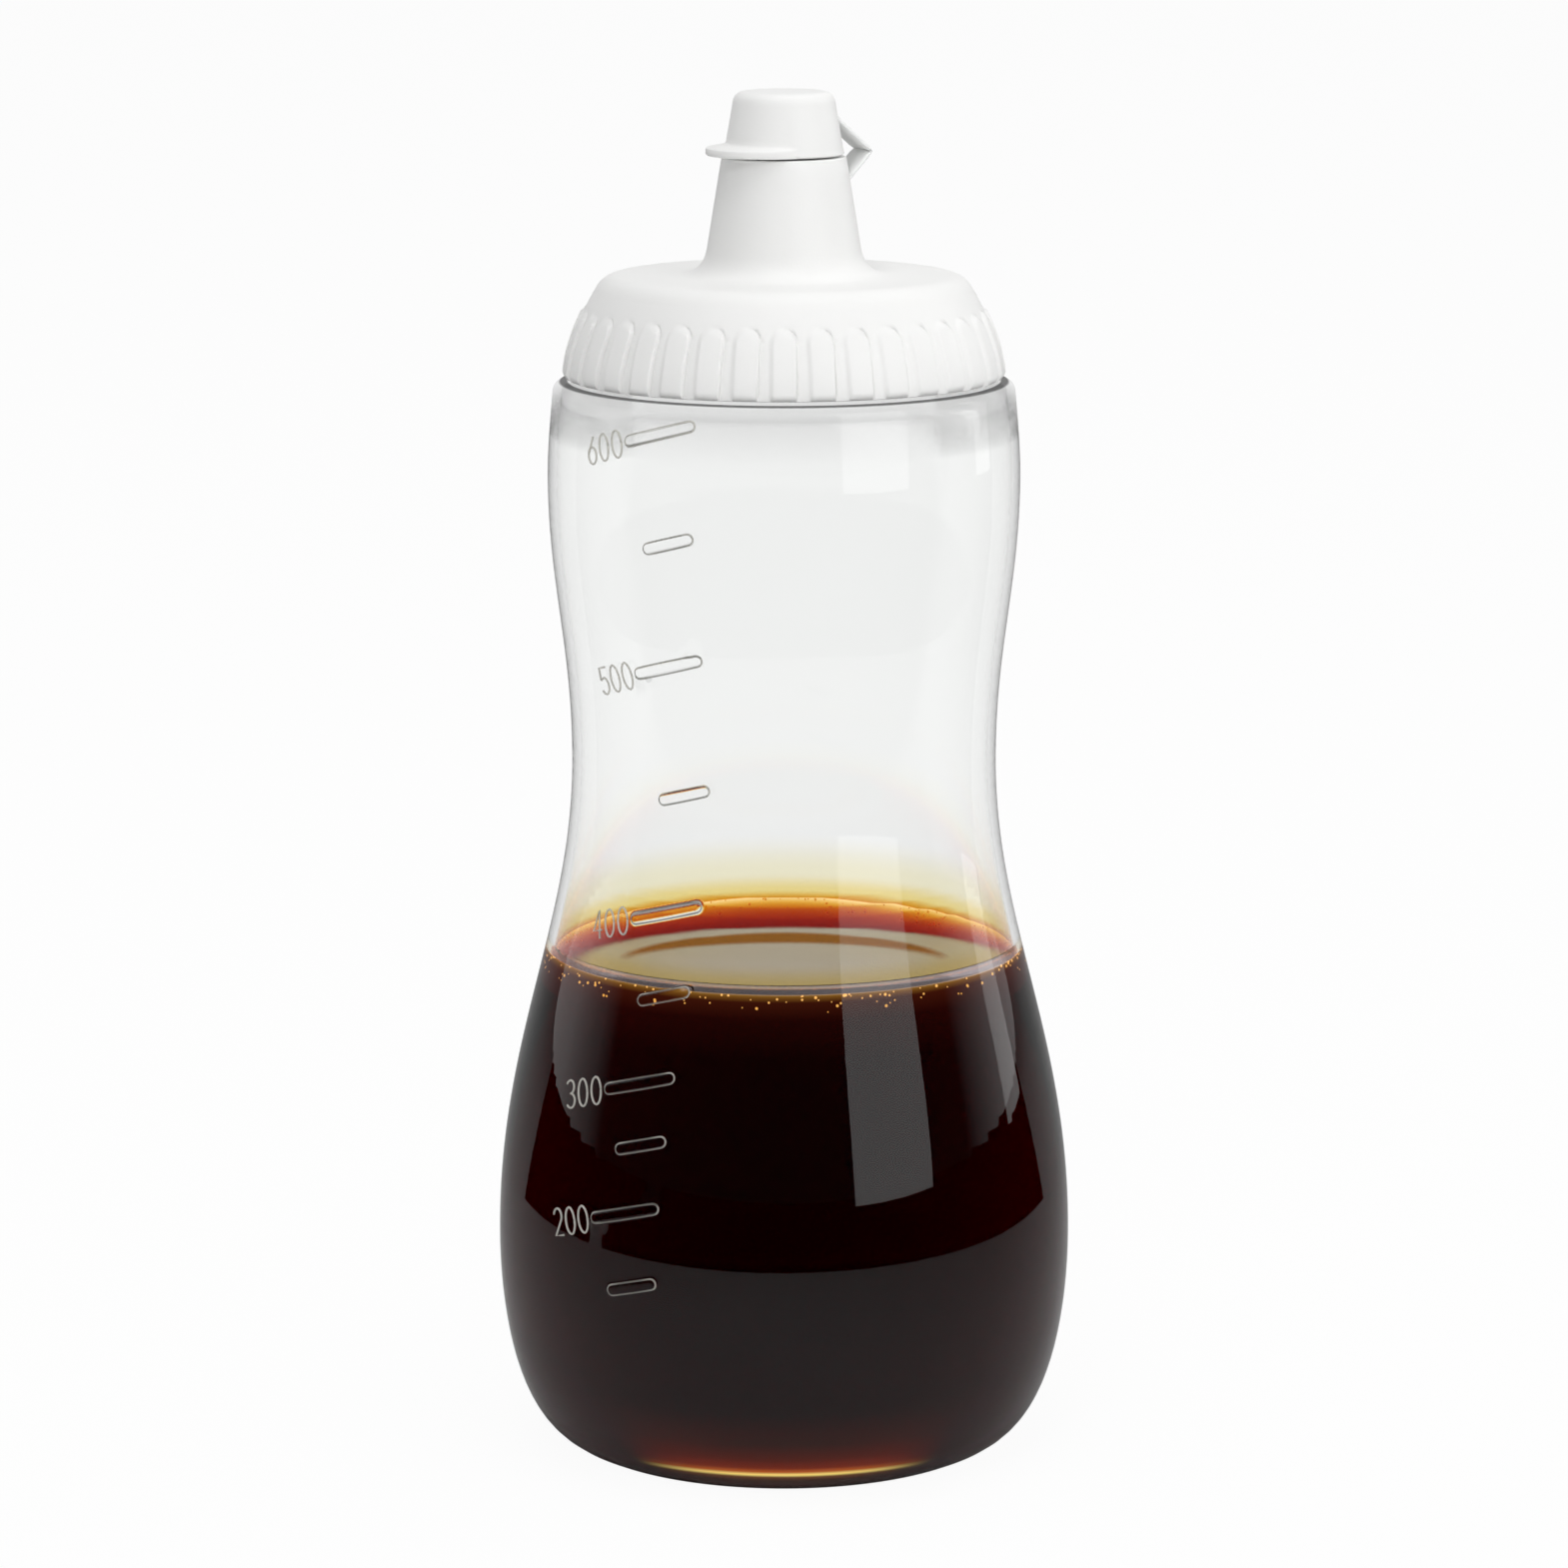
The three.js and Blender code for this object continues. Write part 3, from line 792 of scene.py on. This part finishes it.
def outer_profile():
    top = SHOULDER[1] + SHOULDER_STEP
    profile = base_and_side(0, (FOOT_RADIUS, 0), 22)
    profile += shoulder_points(SHOULDER[0], top, 6)
    root = (NECK_RADIUS + NECK_FILLET, top)
    start = (NECK_RADIUS, top + NECK_FILLET)
    profile += line(profile[-1], root, 3)
    profile += bezier([root, (NECK_RADIUS, top), start], 3)
    profile += line(start, (NECK_RADIUS, NECK_TOP - NECK_EASE), 34)
    return profile


def inner_profile(offset, steps=16):
    """The hollow's outline from the base's middle to the shoulder, grown inwards by an offset."""
    inner = WALL + offset
    return base_and_side(inner, (FOOT_RADIUS - INNER_FOOT_SHARE * inner, inner), steps)


OUTER = outer_profile()
OUTER_SIDE = [point for point in OUTER if point[0] > FOOT_RADIUS - 0.1 and point[1] <= SHOULDER[1]]
MARKS, LINES = scale_layout()


def make_scale_lines():
    """Fine raised lines, round the marks and as numbers, that catch the light."""
    cos_s, sin_s = math.cos(MARK_SLANT), math.sin(MARK_SLANT)
    vertices = []
    faces = []
    sides = 6
    for mark_height, middle, points in LINES:
        placed = []
        for u, v in points:
            side = middle + u * cos_s - v * sin_s
            height = mark_height + u * sin_s + v * cos_s
            radius = radius_at(height, OUTER_SIDE)
            placed.append((radius, SCALE_START + side / radius, height))
        centres = np.array([(r * math.cos(t), r * math.sin(t), h) for r, t, h in placed])
        base = len(vertices)
        for k, (radius, turn, height) in enumerate(placed):
            ahead = centres[min(k + 1, len(centres) - 1)] - centres[max(k - 1, 0)]
            if np.allclose(centres[0], centres[-1]) and k in (0, len(centres) - 1):
                ahead = centres[1] - centres[-2]
            ahead = ahead / np.linalg.norm(ahead)
            out = np.array([math.cos(turn), math.sin(turn), 0])
            across = np.cross(ahead, out)
            across /= np.linalg.norm(across)
            for i in range(sides):
                phase = 2 * math.pi * i / sides
                offset = STROKE_HALF * math.cos(phase) * across + STROKE_RISE * math.sin(phase) * out
                vertices.append(tuple(centres[k] + offset))
        for k in range(len(centres) - 1):
            for i in range(sides):
                j = (i + 1) % sides
                low = base + sides * k
                faces.append((low + i, low + j, low + sides + j, low + sides + i))
        faces.append(tuple(base + i for i in reversed(range(sides))))
        faces.append(tuple(base + sides * (len(centres) - 1) + i for i in range(sides)))
    lines = make_object("scale_lines", vertices, faces, MARK_EDGE_CLEAR)
    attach(lines, "container")


def make_bottle():
    outer = OUTER
    reach, spacing = MARK_ROWS
    for height in MARK_HEIGHTS:
        outer = refined(outer, height - reach, height + reach, spacing)
    rows_outside = len(outer)
    neck_inner = NECK_RADIUS - NECK_WALL
    rim = [(NECK_RADIUS - NECK_EASE, NECK_TOP), (neck_inner + NECK_EASE, NECK_TOP)]
    inside = inner_profile(0)
    first_dry = next(i for i, point in enumerate(inside) if point[1] > FILL_HEIGHT)
    inside.insert(first_dry, (radius_at(FILL_HEIGHT, inside[SIDE_START:]), FILL_HEIGHT))
    under = SHOULDER[1] + SHOULDER_STEP - WALL
    inside += shoulder_points(SHOULDER[0] - WALL, under, 5)
    below, above = ((neck_inner + out, under + up) for out, up in INNER_NECK_FILLET)
    inside += line(inside[-1], below, 3)
    inside += bezier([below, (neck_inner, under + INNER_NECK_FILLET[0][0]), above], 3)
    inside += line(above, (neck_inner, NECK_TOP - NECK_EASE), 4)
    profile = outer + rim + inside[::-1]
    wet_start = len(profile) - 1 - first_dry

    def relief(angles, radius, height, row):
        if row >= rows_outside:
            return np.zeros(len(angles))
        if height > THREAD_START - THREAD_PITCH / 2:
            return thread_relief(angles, height, THREAD_START, THREAD_DEPTH)
        return scale_relief(angles, radius, height)

    start, end, fine_count, coarse_count = MARK_COLUMNS
    fine_low = SCALE_START + math.radians(start)
    fine_high = SCALE_START + math.radians(end)
    fine = np.linspace(fine_low, fine_high, fine_count)
    coarse = np.linspace(fine_high, fine_low + 2 * math.pi, coarse_count)[1:-1]
    angles = np.concatenate([fine, coarse])
    bands = [(WET_CLEAR, wet_start, len(profile))]
    bottle = lathe("bottle_body", profile, CLEAR, angles, relief, bands=bands)
    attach(bottle, "container")
    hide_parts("bottle")


def make_sauce():
    """The sauce wets the wall: its side lies a hair inside the plastic and climbs it at the surface's edge."""
    top = FILL_HEIGHT + MENISCUS_RISE
    profile = [point for point in inner_profile(-WET_OVERLAP, FINE_STEPS) if point[1] < top]
    side = profile[SIDE_START:]
    profile.append((radius_at(top, side), top))
    for share in np.linspace(0.02, 1, MENISCUS_ROWS):
        gap = MENISCUS_SPAN * share**MENISCUS_CROWDING
        height = FILL_HEIGHT + MENISCUS_RISE * math.exp(-gap / MENISCUS_REACH)
        profile.append((radius_at(height, side) - MENISCUS_INSET - gap, height))
    profile.append((0, FILL_HEIGHT))
    angles = np.linspace(0, 2 * math.pi, SAUCE_COLUMNS, endpoint=False)
    sauce = lathe("sauce_fill", profile, SAUCE, angles)
    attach(sauce, "container")
    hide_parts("sauce")


def make_film():
    """A film from the surface up, just inside the wall, with its wet side only."""
    side = inner_profile(FILM_GAP, FINE_STEPS)[SIDE_START:]
    levels = np.linspace(FILL_HEIGHT, FILL_HEIGHT + FILM_HEIGHT, FILM_ROWS)
    profile = [(radius_at(level, side), float(level)) for level in levels]
    film = lathe("sauce_film", profile, FILM)
    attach(film, "container")


# Cap with its spout


def cap_side(offset, steps):
    height = CAP_TOP - CAP_BOTTOM
    skirt = CAP_SKIRT_RADIUS + offset
    top_edge = CAP_TOP_RADIUS + offset
    knee = (top_edge + CAP_KNEE[0], CAP_TOP - CAP_KNEE[1])
    low_pull = (skirt, CAP_BOTTOM + CAP_PULL * height)
    high_pull = (top_edge + CAP_BULGE, CAP_TOP - CAP_PULL * height)
    made = bezier([(skirt, CAP_BOTTOM), low_pull, high_pull, knee], steps)
    corner = (top_edge + CAP_CORNER_OUT, CAP_TOP)
    return made + bezier([knee, corner, (CAP_TOP_RADIUS - CAP_KNEE[1], CAP_TOP)], KNEE_STEPS)


def grip_relief(angles, radius, height):
    """Raised pads round the skirt with round heads, soft on one side and sharp on the other."""
    pitch = 2 * math.pi / GRIP_COUNT
    offset = ((np.asarray(angles) / pitch) % 1 - 0.5) * pitch
    side = offset * radius
    half = GRIP_WIDTH / 2
    above = max(0.0, height - (GRIP_TOP - half))
    edge = half - np.hypot(side, above)
    slope = np.where(side < 0, GRIP_SOFT_EDGE, GRIP_SHARP_EDGE)
    pad = smoothstep(edge / slope + 0.5)
    groove = np.exp(-(((edge + GRIP_GROOVE_WIDTH) / GRIP_GROOVE_WIDTH) ** 2)) * (side > 0)
    return GRIP_RELIEF * pad - GRIP_GROOVE_DEPTH * groove


def make_cap():
    bore = NECK_RADIUS + THREAD_DEPTH + THREAD_CLEARANCE
    roof = CAP_TOP - CAP_WALL
    tip_inner = SPOUT_TIP_RADIUS - SPOUT_WALL
    root_inner = SPOUT_ROOT[0] - SPOUT_WALL
    under_seat = SPOUT_TOP - SPOUT_WALL
    inside = [(bore, CAP_BOTTOM + 0.2)]
    inside += line(inside[-1], (bore, NECK_TOP - THREAD_ROOM), THREAD_ROWS)
    threaded_rows = len(inside)
    inside += bezier([inside[-1], (bore - 0.1 * ROOF_CORNER, roof), (bore - ROOF_CORNER, roof)], 6)
    inside += line(inside[-1], (SPOUT_FILLET_RADIUS - 2, roof), 4)
    inside += bezier([inside[-1], (root_inner, roof), (root_inner, SPOUT_ROOT[1])], 6)
    inside += line(inside[-1], (tip_inner, SPOUT_TOP - 1.6 * SPOUT_WALL), 4)
    inside += bezier([inside[-1], (tip_inner, under_seat), (NOZZLE_RADIUS, under_seat)], 4)
    inside += [
        (ORIFICE_RADIUS, SPOUT_TOP - 0.2 * SPOUT_WALL),
        (ORIFICE_RADIUS, NOZZLE_TOP - 0.5),
        (ORIFICE_RADIUS + 0.4, NOZZLE_TOP),
    ]
    foot = [(bore + FOOT_EASE, CAP_BOTTOM), (CAP_SKIRT_RADIUS - FOOT_EASE, CAP_BOTTOM)]
    outside = [(CAP_SKIRT_RADIUS, CAP_BOTTOM + 0.1)] + cap_side(0, SKIRT_STEPS)[1:]
    skirt_rows = len(foot) + len(outside)
    outside += line(outside[-1], (SPOUT_FILLET_RADIUS, CAP_TOP), 4)
    outside += bezier([outside[-1], (SPOUT_ROOT[0] + 0.6, CAP_TOP + 0.2), SPOUT_ROOT], 11)
    outside += line(SPOUT_ROOT, (SPOUT_TIP_RADIUS, SPOUT_TOP - 0.25), 5)
    outside += [(SPOUT_TIP_RADIUS - 0.08, SPOUT_TOP - 0.07), (SPOUT_TIP_RADIUS - 0.25, SPOUT_TOP)]
    outside += [
        (NOZZLE_RADIUS + 0.7, SPOUT_TOP),
        (NOZZLE_RADIUS + 0.3, SPOUT_TOP + 0.3),
        (NOZZLE_RADIUS - 0.2, NOZZLE_TOP - 0.6),
        (NOZZLE_RADIUS - 0.35, NOZZLE_TOP - 0.2),
        (NOZZLE_RADIUS - 0.8, NOZZLE_TOP),
        (ORIFICE_RADIUS + 0.8, NOZZLE_TOP),
    ]
    profile = foot + outside + inside[::-1]
    first_inside = len(foot) + len(outside) + len(inside) - threaded_rows

    def relief(angles, radius, height, row):
        if row < skirt_rows and row >= len(foot) and height > CAP_BOTTOM + GRIP_FOOT:
            return grip_relief(angles, radius, height)
        if row >= first_inside:
            return -thread_relief(angles, height, THREAD_START - THREAD_PITCH / 2, THREAD_DEPTH)
        return np.zeros(len(angles))

    pitch = 2 * math.pi / GRIP_COUNT
    columns = np.array(GRIP_COLUMNS) / CAP_SKIRT_RADIUS
    angles = np.concatenate([(i + 0.5) * pitch + columns for i in range(GRIP_COUNT)])
    cap = lathe("cap_with_spout", profile, WHITE, angles, relief, closed=True, sharp=50)
    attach(cap, "cap")
    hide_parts("screw_cap")


def make_ring():
    bottom = NECK_TOP + RING_GAP
    top = CAP_TOP - CAP_WALL - RING_GAP
    inner = NECK_RADIUS - NECK_WALL + RING_INSET
    outer = NECK_RADIUS - RING_INSET
    ease = RING_EASE
    profile = [
        (inner + ease, bottom), (outer - ease, bottom), (outer, bottom + ease), (outer, top - ease),
        (outer - ease, top), (inner + ease, top), (inner, top - ease), (inner, bottom + ease),
    ]
    ring = lathe("seal", profile, RUBBER, closed=True)
    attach(ring, "seal")
    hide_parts("sealing_ring")


# Flip lid


def lip_reach_at(angles, radius):
    """How far the lid's rim reaches at an angle: the lip is a disc set off towards the thumb side."""
    centre = LIP_RADIUS - LIP_REACH
    cos_a = np.cos(angles)
    sin_a = np.sin(angles)
    lip = centre * cos_a + np.sqrt(LIP_RADIUS**2 - (centre * sin_a) ** 2)
    return np.maximum(lip - radius, 0)


def make_lid():
    rim = SPOUT_TOP + LID_GAP
    roof = LID_TOP - LID_WALL
    lip_top = rim + LIP_THICKNESS

    def wall_at(height):
        share = (height - rim) / (LID_TOP - LID_CORNER - rim)
        return LID_RIM_RADIUS + (LID_TOP_RADIUS - LID_RIM_RADIUS) * share

    outside = [(LID_RIM_RADIUS - 0.25, rim), (LID_RIM_RADIUS, rim + 0.22)]
    outside += line(outside[-1], (wall_at(lip_top - 0.3), lip_top - 0.3), 3)
    outside += bezier(
        [outside[-1], (wall_at(lip_top), lip_top), (wall_at(lip_top + 0.5), lip_top + 0.5)], 6
    )
    outside += line(outside[-1], (LID_TOP_RADIUS, LID_TOP - LID_CORNER), 8)
    outside += bezier(
        [outside[-1], (LID_TOP_RADIUS - 0.15, LID_TOP), (LID_TOP_RADIUS - LID_CORNER, LID_TOP)], 10
    )
    outside += line(outside[-1], (0, LID_TOP), 5)
    inner_rim = LID_RIM_RADIUS - LID_WALL
    inner_top = LID_TOP_RADIUS - LID_WALL
    inside = line((PIN_TIP_RADIUS, NOZZLE_TOP - PIN_DEPTH), (PIN_ROOT_RADIUS, NOZZLE_TOP), 3)
    inside = [(0, NOZZLE_TOP - PIN_DEPTH - 0.2), (PIN_TIP_RADIUS - 0.2, NOZZLE_TOP - PIN_DEPTH)] + inside
    inside += [(PIN_ROOT_RADIUS, roof - 0.3), (PIN_ROOT_RADIUS + 0.3, roof)]
    inside += line(inside[-1], (inner_top - LID_INNER_CORNER, roof), 3)
    inside += bezier([inside[-1], (inner_top, roof), (inner_top, roof - LID_INNER_CORNER)], 5)
    inside += line(inside[-1], (inner_rim, rim + 0.2), 6)
    inside += [(inner_rim + 0.2, rim)]
    profile = inside + outside
    first = len(inside)

    def relief(angles, radius, height, row):
        if not first <= row < first + len(LIP_SHARES):
            return np.zeros(len(angles))
        return LIP_SHARES[row - first] * lip_reach_at(angles, radius)

    angles = np.linspace(0, 2 * math.pi, 160, endpoint=False)
    lid = lathe("lid", profile, WHITE, angles, relief, sharp=60)
    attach(lid, "lid")
    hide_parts("flip_lid")


# Hinge strap


def taper(low, high, height):
    return low[0] + (high[0] - low[0]) * (height - low[1]) / (high[1] - low[1])


def strap_leaf(name, root, body, node):
    """One leaf of the strap: thin, rounded at its edges, thinning to the crease."""
    reach = np.array([root[0] - HINGE[0], root[1] - HINGE[1]])
    length = float(np.hypot(*reach))
    along = reach / length
    across = np.array([-along[1], along[0]])
    half_width = STRAP_WIDTH / 2
    stations = [0.06, 0.2, 0.5, 0.9, 0.5 * length, 0.8 * length, length, length + STRAP_ROOT]
    ease = STRAP_EASE
    vertices = []
    for station, half in zip(stations, STRAP_HALVES):
        section = [
            (-half_width, -half + ease), (-half_width + ease, -half), (half_width - ease, -half),
            (half_width, -half + ease), (half_width, half - ease), (half_width - ease, half),
            (-half_width + ease, half), (-half_width, half - ease),
        ]
        for side, depth in section:
            point = along * station + across * depth
            vertices.append((HINGE[0] + point[0], side, HINGE[1] + point[1]))
    ring = 8
    faces = [tuple(range(ring))]
    for k in range(len(stations) - 1):
        for i in range(ring):
            j = (i + 1) % ring
            faces.append((ring * k + i, ring * (k + 1) + i, ring * (k + 1) + j, ring * k + j))
    last = ring * (len(stations) - 1)
    faces.append(tuple(last + i for i in reversed(range(ring))))
    leaf = make_object(name, vertices, faces, STRAP)
    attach(leaf, body)
    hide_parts(node)


def make_strap():
    lid_low = (LID_RIM_RADIUS, SPOUT_TOP + LID_GAP)
    lid_high = (LID_TOP_RADIUS, LID_TOP - LID_CORNER)
    spout_tip = (SPOUT_TIP_RADIUS, SPOUT_TOP)
    upper = (taper(lid_low, lid_high, STRAP_UPPER_SEAT) - STRAP_SUNK, STRAP_UPPER_SEAT)
    lower = (taper(SPOUT_ROOT, spout_tip, STRAP_LOWER_SEAT) - STRAP_SUNK, STRAP_LOWER_SEAT)
    strap_leaf("strap_upper", upper, "lid", "hinge_strap_upper")
    strap_leaf("strap_lower", lower, "cap", "hinge_strap_lower")


# Bubbles along the sauce's line at the wall


def make_bubbles():
    """Small foam bubbles floating against the wall, just under the sauce's surface."""
    chance = random.Random(7)
    wall_inner = radius_at(FILL_HEIGHT, OUTER_SIDE) - WALL
    vertices = []
    faces = []
    rings, sides = 5, 8
    for _ in range(BUBBLE_COUNT):
        angle = chance.uniform(0, 2 * math.pi)
        size = chance.choice(BUBBLE_SIZES)
        radial = wall_inner - size * BUBBLE_CLEAR + WET_OVERLAP
        height = FILL_HEIGHT - BUBBLE_DEPTH * chance.random() ** 2 - size
        centre = np.array([radial * math.cos(angle), radial * math.sin(angle), height])
        base = len(vertices)
        vertices.append(tuple(centre - (0, 0, size)))
        for k in range(1, rings):
            tilt = math.pi * k / rings
            for i in range(sides):
                turn = 2 * math.pi * i / sides
                offset = np.array(
                    [math.sin(tilt) * math.cos(turn), math.sin(tilt) * math.sin(turn), -math.cos(tilt)]
                )
                vertices.append(tuple(centre + size * offset))
        top = len(vertices)
        vertices.append(tuple(centre + (0, 0, size)))
        for i in range(sides):
            j = (i + 1) % sides
            faces.append((base, base + 1 + j, base + 1 + i))
            faces.append((top, top - sides + i, top - sides + j))
            for k in range(rings - 2):
                low = base + 1 + sides * k
                faces.append((low + i, low + j, low + sides + j, low + sides + i))
    bubbles = make_object("sauce_bubbles", vertices, faces, bubble_material())
    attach(bubbles, "container")


# Stage, light and camera


def direction(azimuth, elevation):
    """The direction from the bottle at an azimuth counted from the photograph's zero, and an elevation."""
    turn, lift = math.radians(azimuth), math.radians(elevation)
    return Vector((math.sin(turn) * math.cos(lift), -math.cos(turn) * math.cos(lift), math.sin(lift)))


def place(name, data, height, back, distance):
    """An object at a distance in a direction from a point on the bottle's axis, looking at it."""
    made = bpy.data.objects.new(name, data)
    bpy.context.scene.collection.objects.link(made)
    made.location = Vector((0, 0, height * MM)) + back * distance
    made.rotation_mode = "QUATERNION"
    made.rotation_quaternion = back.to_track_quat("Z", "Y")
    return made


def make_camera():
    data = bpy.data.cameras.new("camera")
    data.lens = CAMERA_LENS
    data.sensor_width = CAMERA_SENSOR
    data.clip_start, data.clip_end = CAMERA_CLIP
    back = direction(CAMERA_AZIMUTH, CAMERA_PITCH)
    bpy.context.scene.camera = place("camera", data, CAMERA_TARGET_HEIGHT, back, CAMERA_DISTANCE * MM)


def make_floor():
    """A pale table that keeps a soft shadow.

    Reflections see it darker, most so far off and not behind the bottle. Bent light sees its front darker.
    """
    mesh = bpy.data.meshes.new("floor")
    corners = [(-1, -1), (1, -1), (1, 1), (-1, 1)]
    mesh.from_pydata([(FLOOR_HALF * x, FLOOR_HALF * y, 0) for x, y in corners], [], [(0, 1, 2, 3)])
    floor = bpy.data.objects.new("floor", mesh)
    bpy.context.scene.collection.objects.link(floor)
    graph = new_graph("floor", {"Base Color": FLOOR_COLOUR, "Roughness": 1.0, "Specular IOR Level": 0.0})
    glow = graph.add("Emission", {"Color": WHITE_LIGHT, "Strength": 1.0})
    seen = graph.math("MULTIPLY", graph.rays("Is Camera Ray", "Is Transmission Ray"), FLOOR_GLOW)
    table = graph.mix(seen, graph.shader.outputs["BSDF"], glow)
    dark = graph.add("Emission", {"Strength": 0.0})

    position = graph.position()
    distance = graph.vector("LENGTH", [position])
    forward = graph.vector("DOT_PRODUCT", [position, toward_camera()])
    near = graph.span(
        distance, FLOOR_NEAR * MM, FLOOR_REFLECTED * MM, FLOOR_NEAR_HIDDEN, FLOOR_FAR_HIDDEN
    )
    far = graph.math("GREATER_THAN", distance, FLOOR_REFLECTED * MM)
    aside = graph.math("GREATER_THAN", graph.math("DIVIDE", forward, distance), FLOOR_ASIDE)
    hidden = graph.math("MAXIMUM", graph.math("MULTIPLY", far, aside), near)
    mirrored = graph.math("MULTIPLY", hidden, graph.mirror_rays())
    front = graph.span(forward, FLOOR_FRONT[0] * MM, FLOOR_FRONT[1] * MM, 0.0, FLOOR_FRONT_HIDDEN)
    bent = graph.math("MULTIPLY", front, graph.rays("Is Transmission Ray"))
    mesh.materials.append(graph.finish(graph.mix(graph.math("MAXIMUM", mirrored, bent), table, dark)))


def make_world():
    """White all round for the camera. Reflections and bent light see white behind and dark in front."""
    world = bpy.data.worlds.new("studio")
    bpy.context.scene.world = world
    graph = Graph(world)
    graph.nodes.clear()
    place = graph.add("TexCoord", output="Generated")
    facing = graph.vector("DOT_PRODUCT", [place, toward_camera()])
    aside = graph.vector("DOT_PRODUCT", [place, camera_right()])
    front = graph.span(graph.mirror_rays(), 0.0, 1.0, WORLD_FRONT_BENT, WORLD_FRONT)
    studio = graph.add("Background", {"Strength": graph.span(facing, *WORLD_TURN, 1.0, front)})
    even = graph.add("Background", {"Strength": graph.span(aside, -1.0, 1.0, WORLD_LEFT, WORLD_RIGHT)})
    white = graph.add("Background", {"Strength": 1.0})
    lit = graph.mix(graph.rays("Is Glossy Ray", "Is Transmission Ray"), even, studio)
    output = graph.nodes.new("ShaderNodeOutputWorld")
    graph.set(output, {"Surface": graph.mix(graph.rays("Is Camera Ray"), lit, white)})


def make_lights():
    for name, azimuth, elevation, distance, size, power, glossy in LIGHTS:
        back = direction(CAMERA_AZIMUTH + azimuth, elevation)
        data = bpy.data.lights.new(name, "AREA")
        data.shape = "RECTANGLE"
        data.size, data.size_y = size
        data.energy = power
        light = place(name, data, LIGHT_TARGET_HEIGHT, back, distance)
        light.visible_glossy = glossy
        light.visible_camera = False
        light.visible_transmission = False


make_camera()
make_world()
make_floor()
make_lights()
make_bottle()
make_scale_lines()
make_sauce()
make_film()
make_cap()
make_ring()
make_lid()
make_strap()
make_bubbles()

bpy.context.scene.view_settings.view_transform = "Standard"
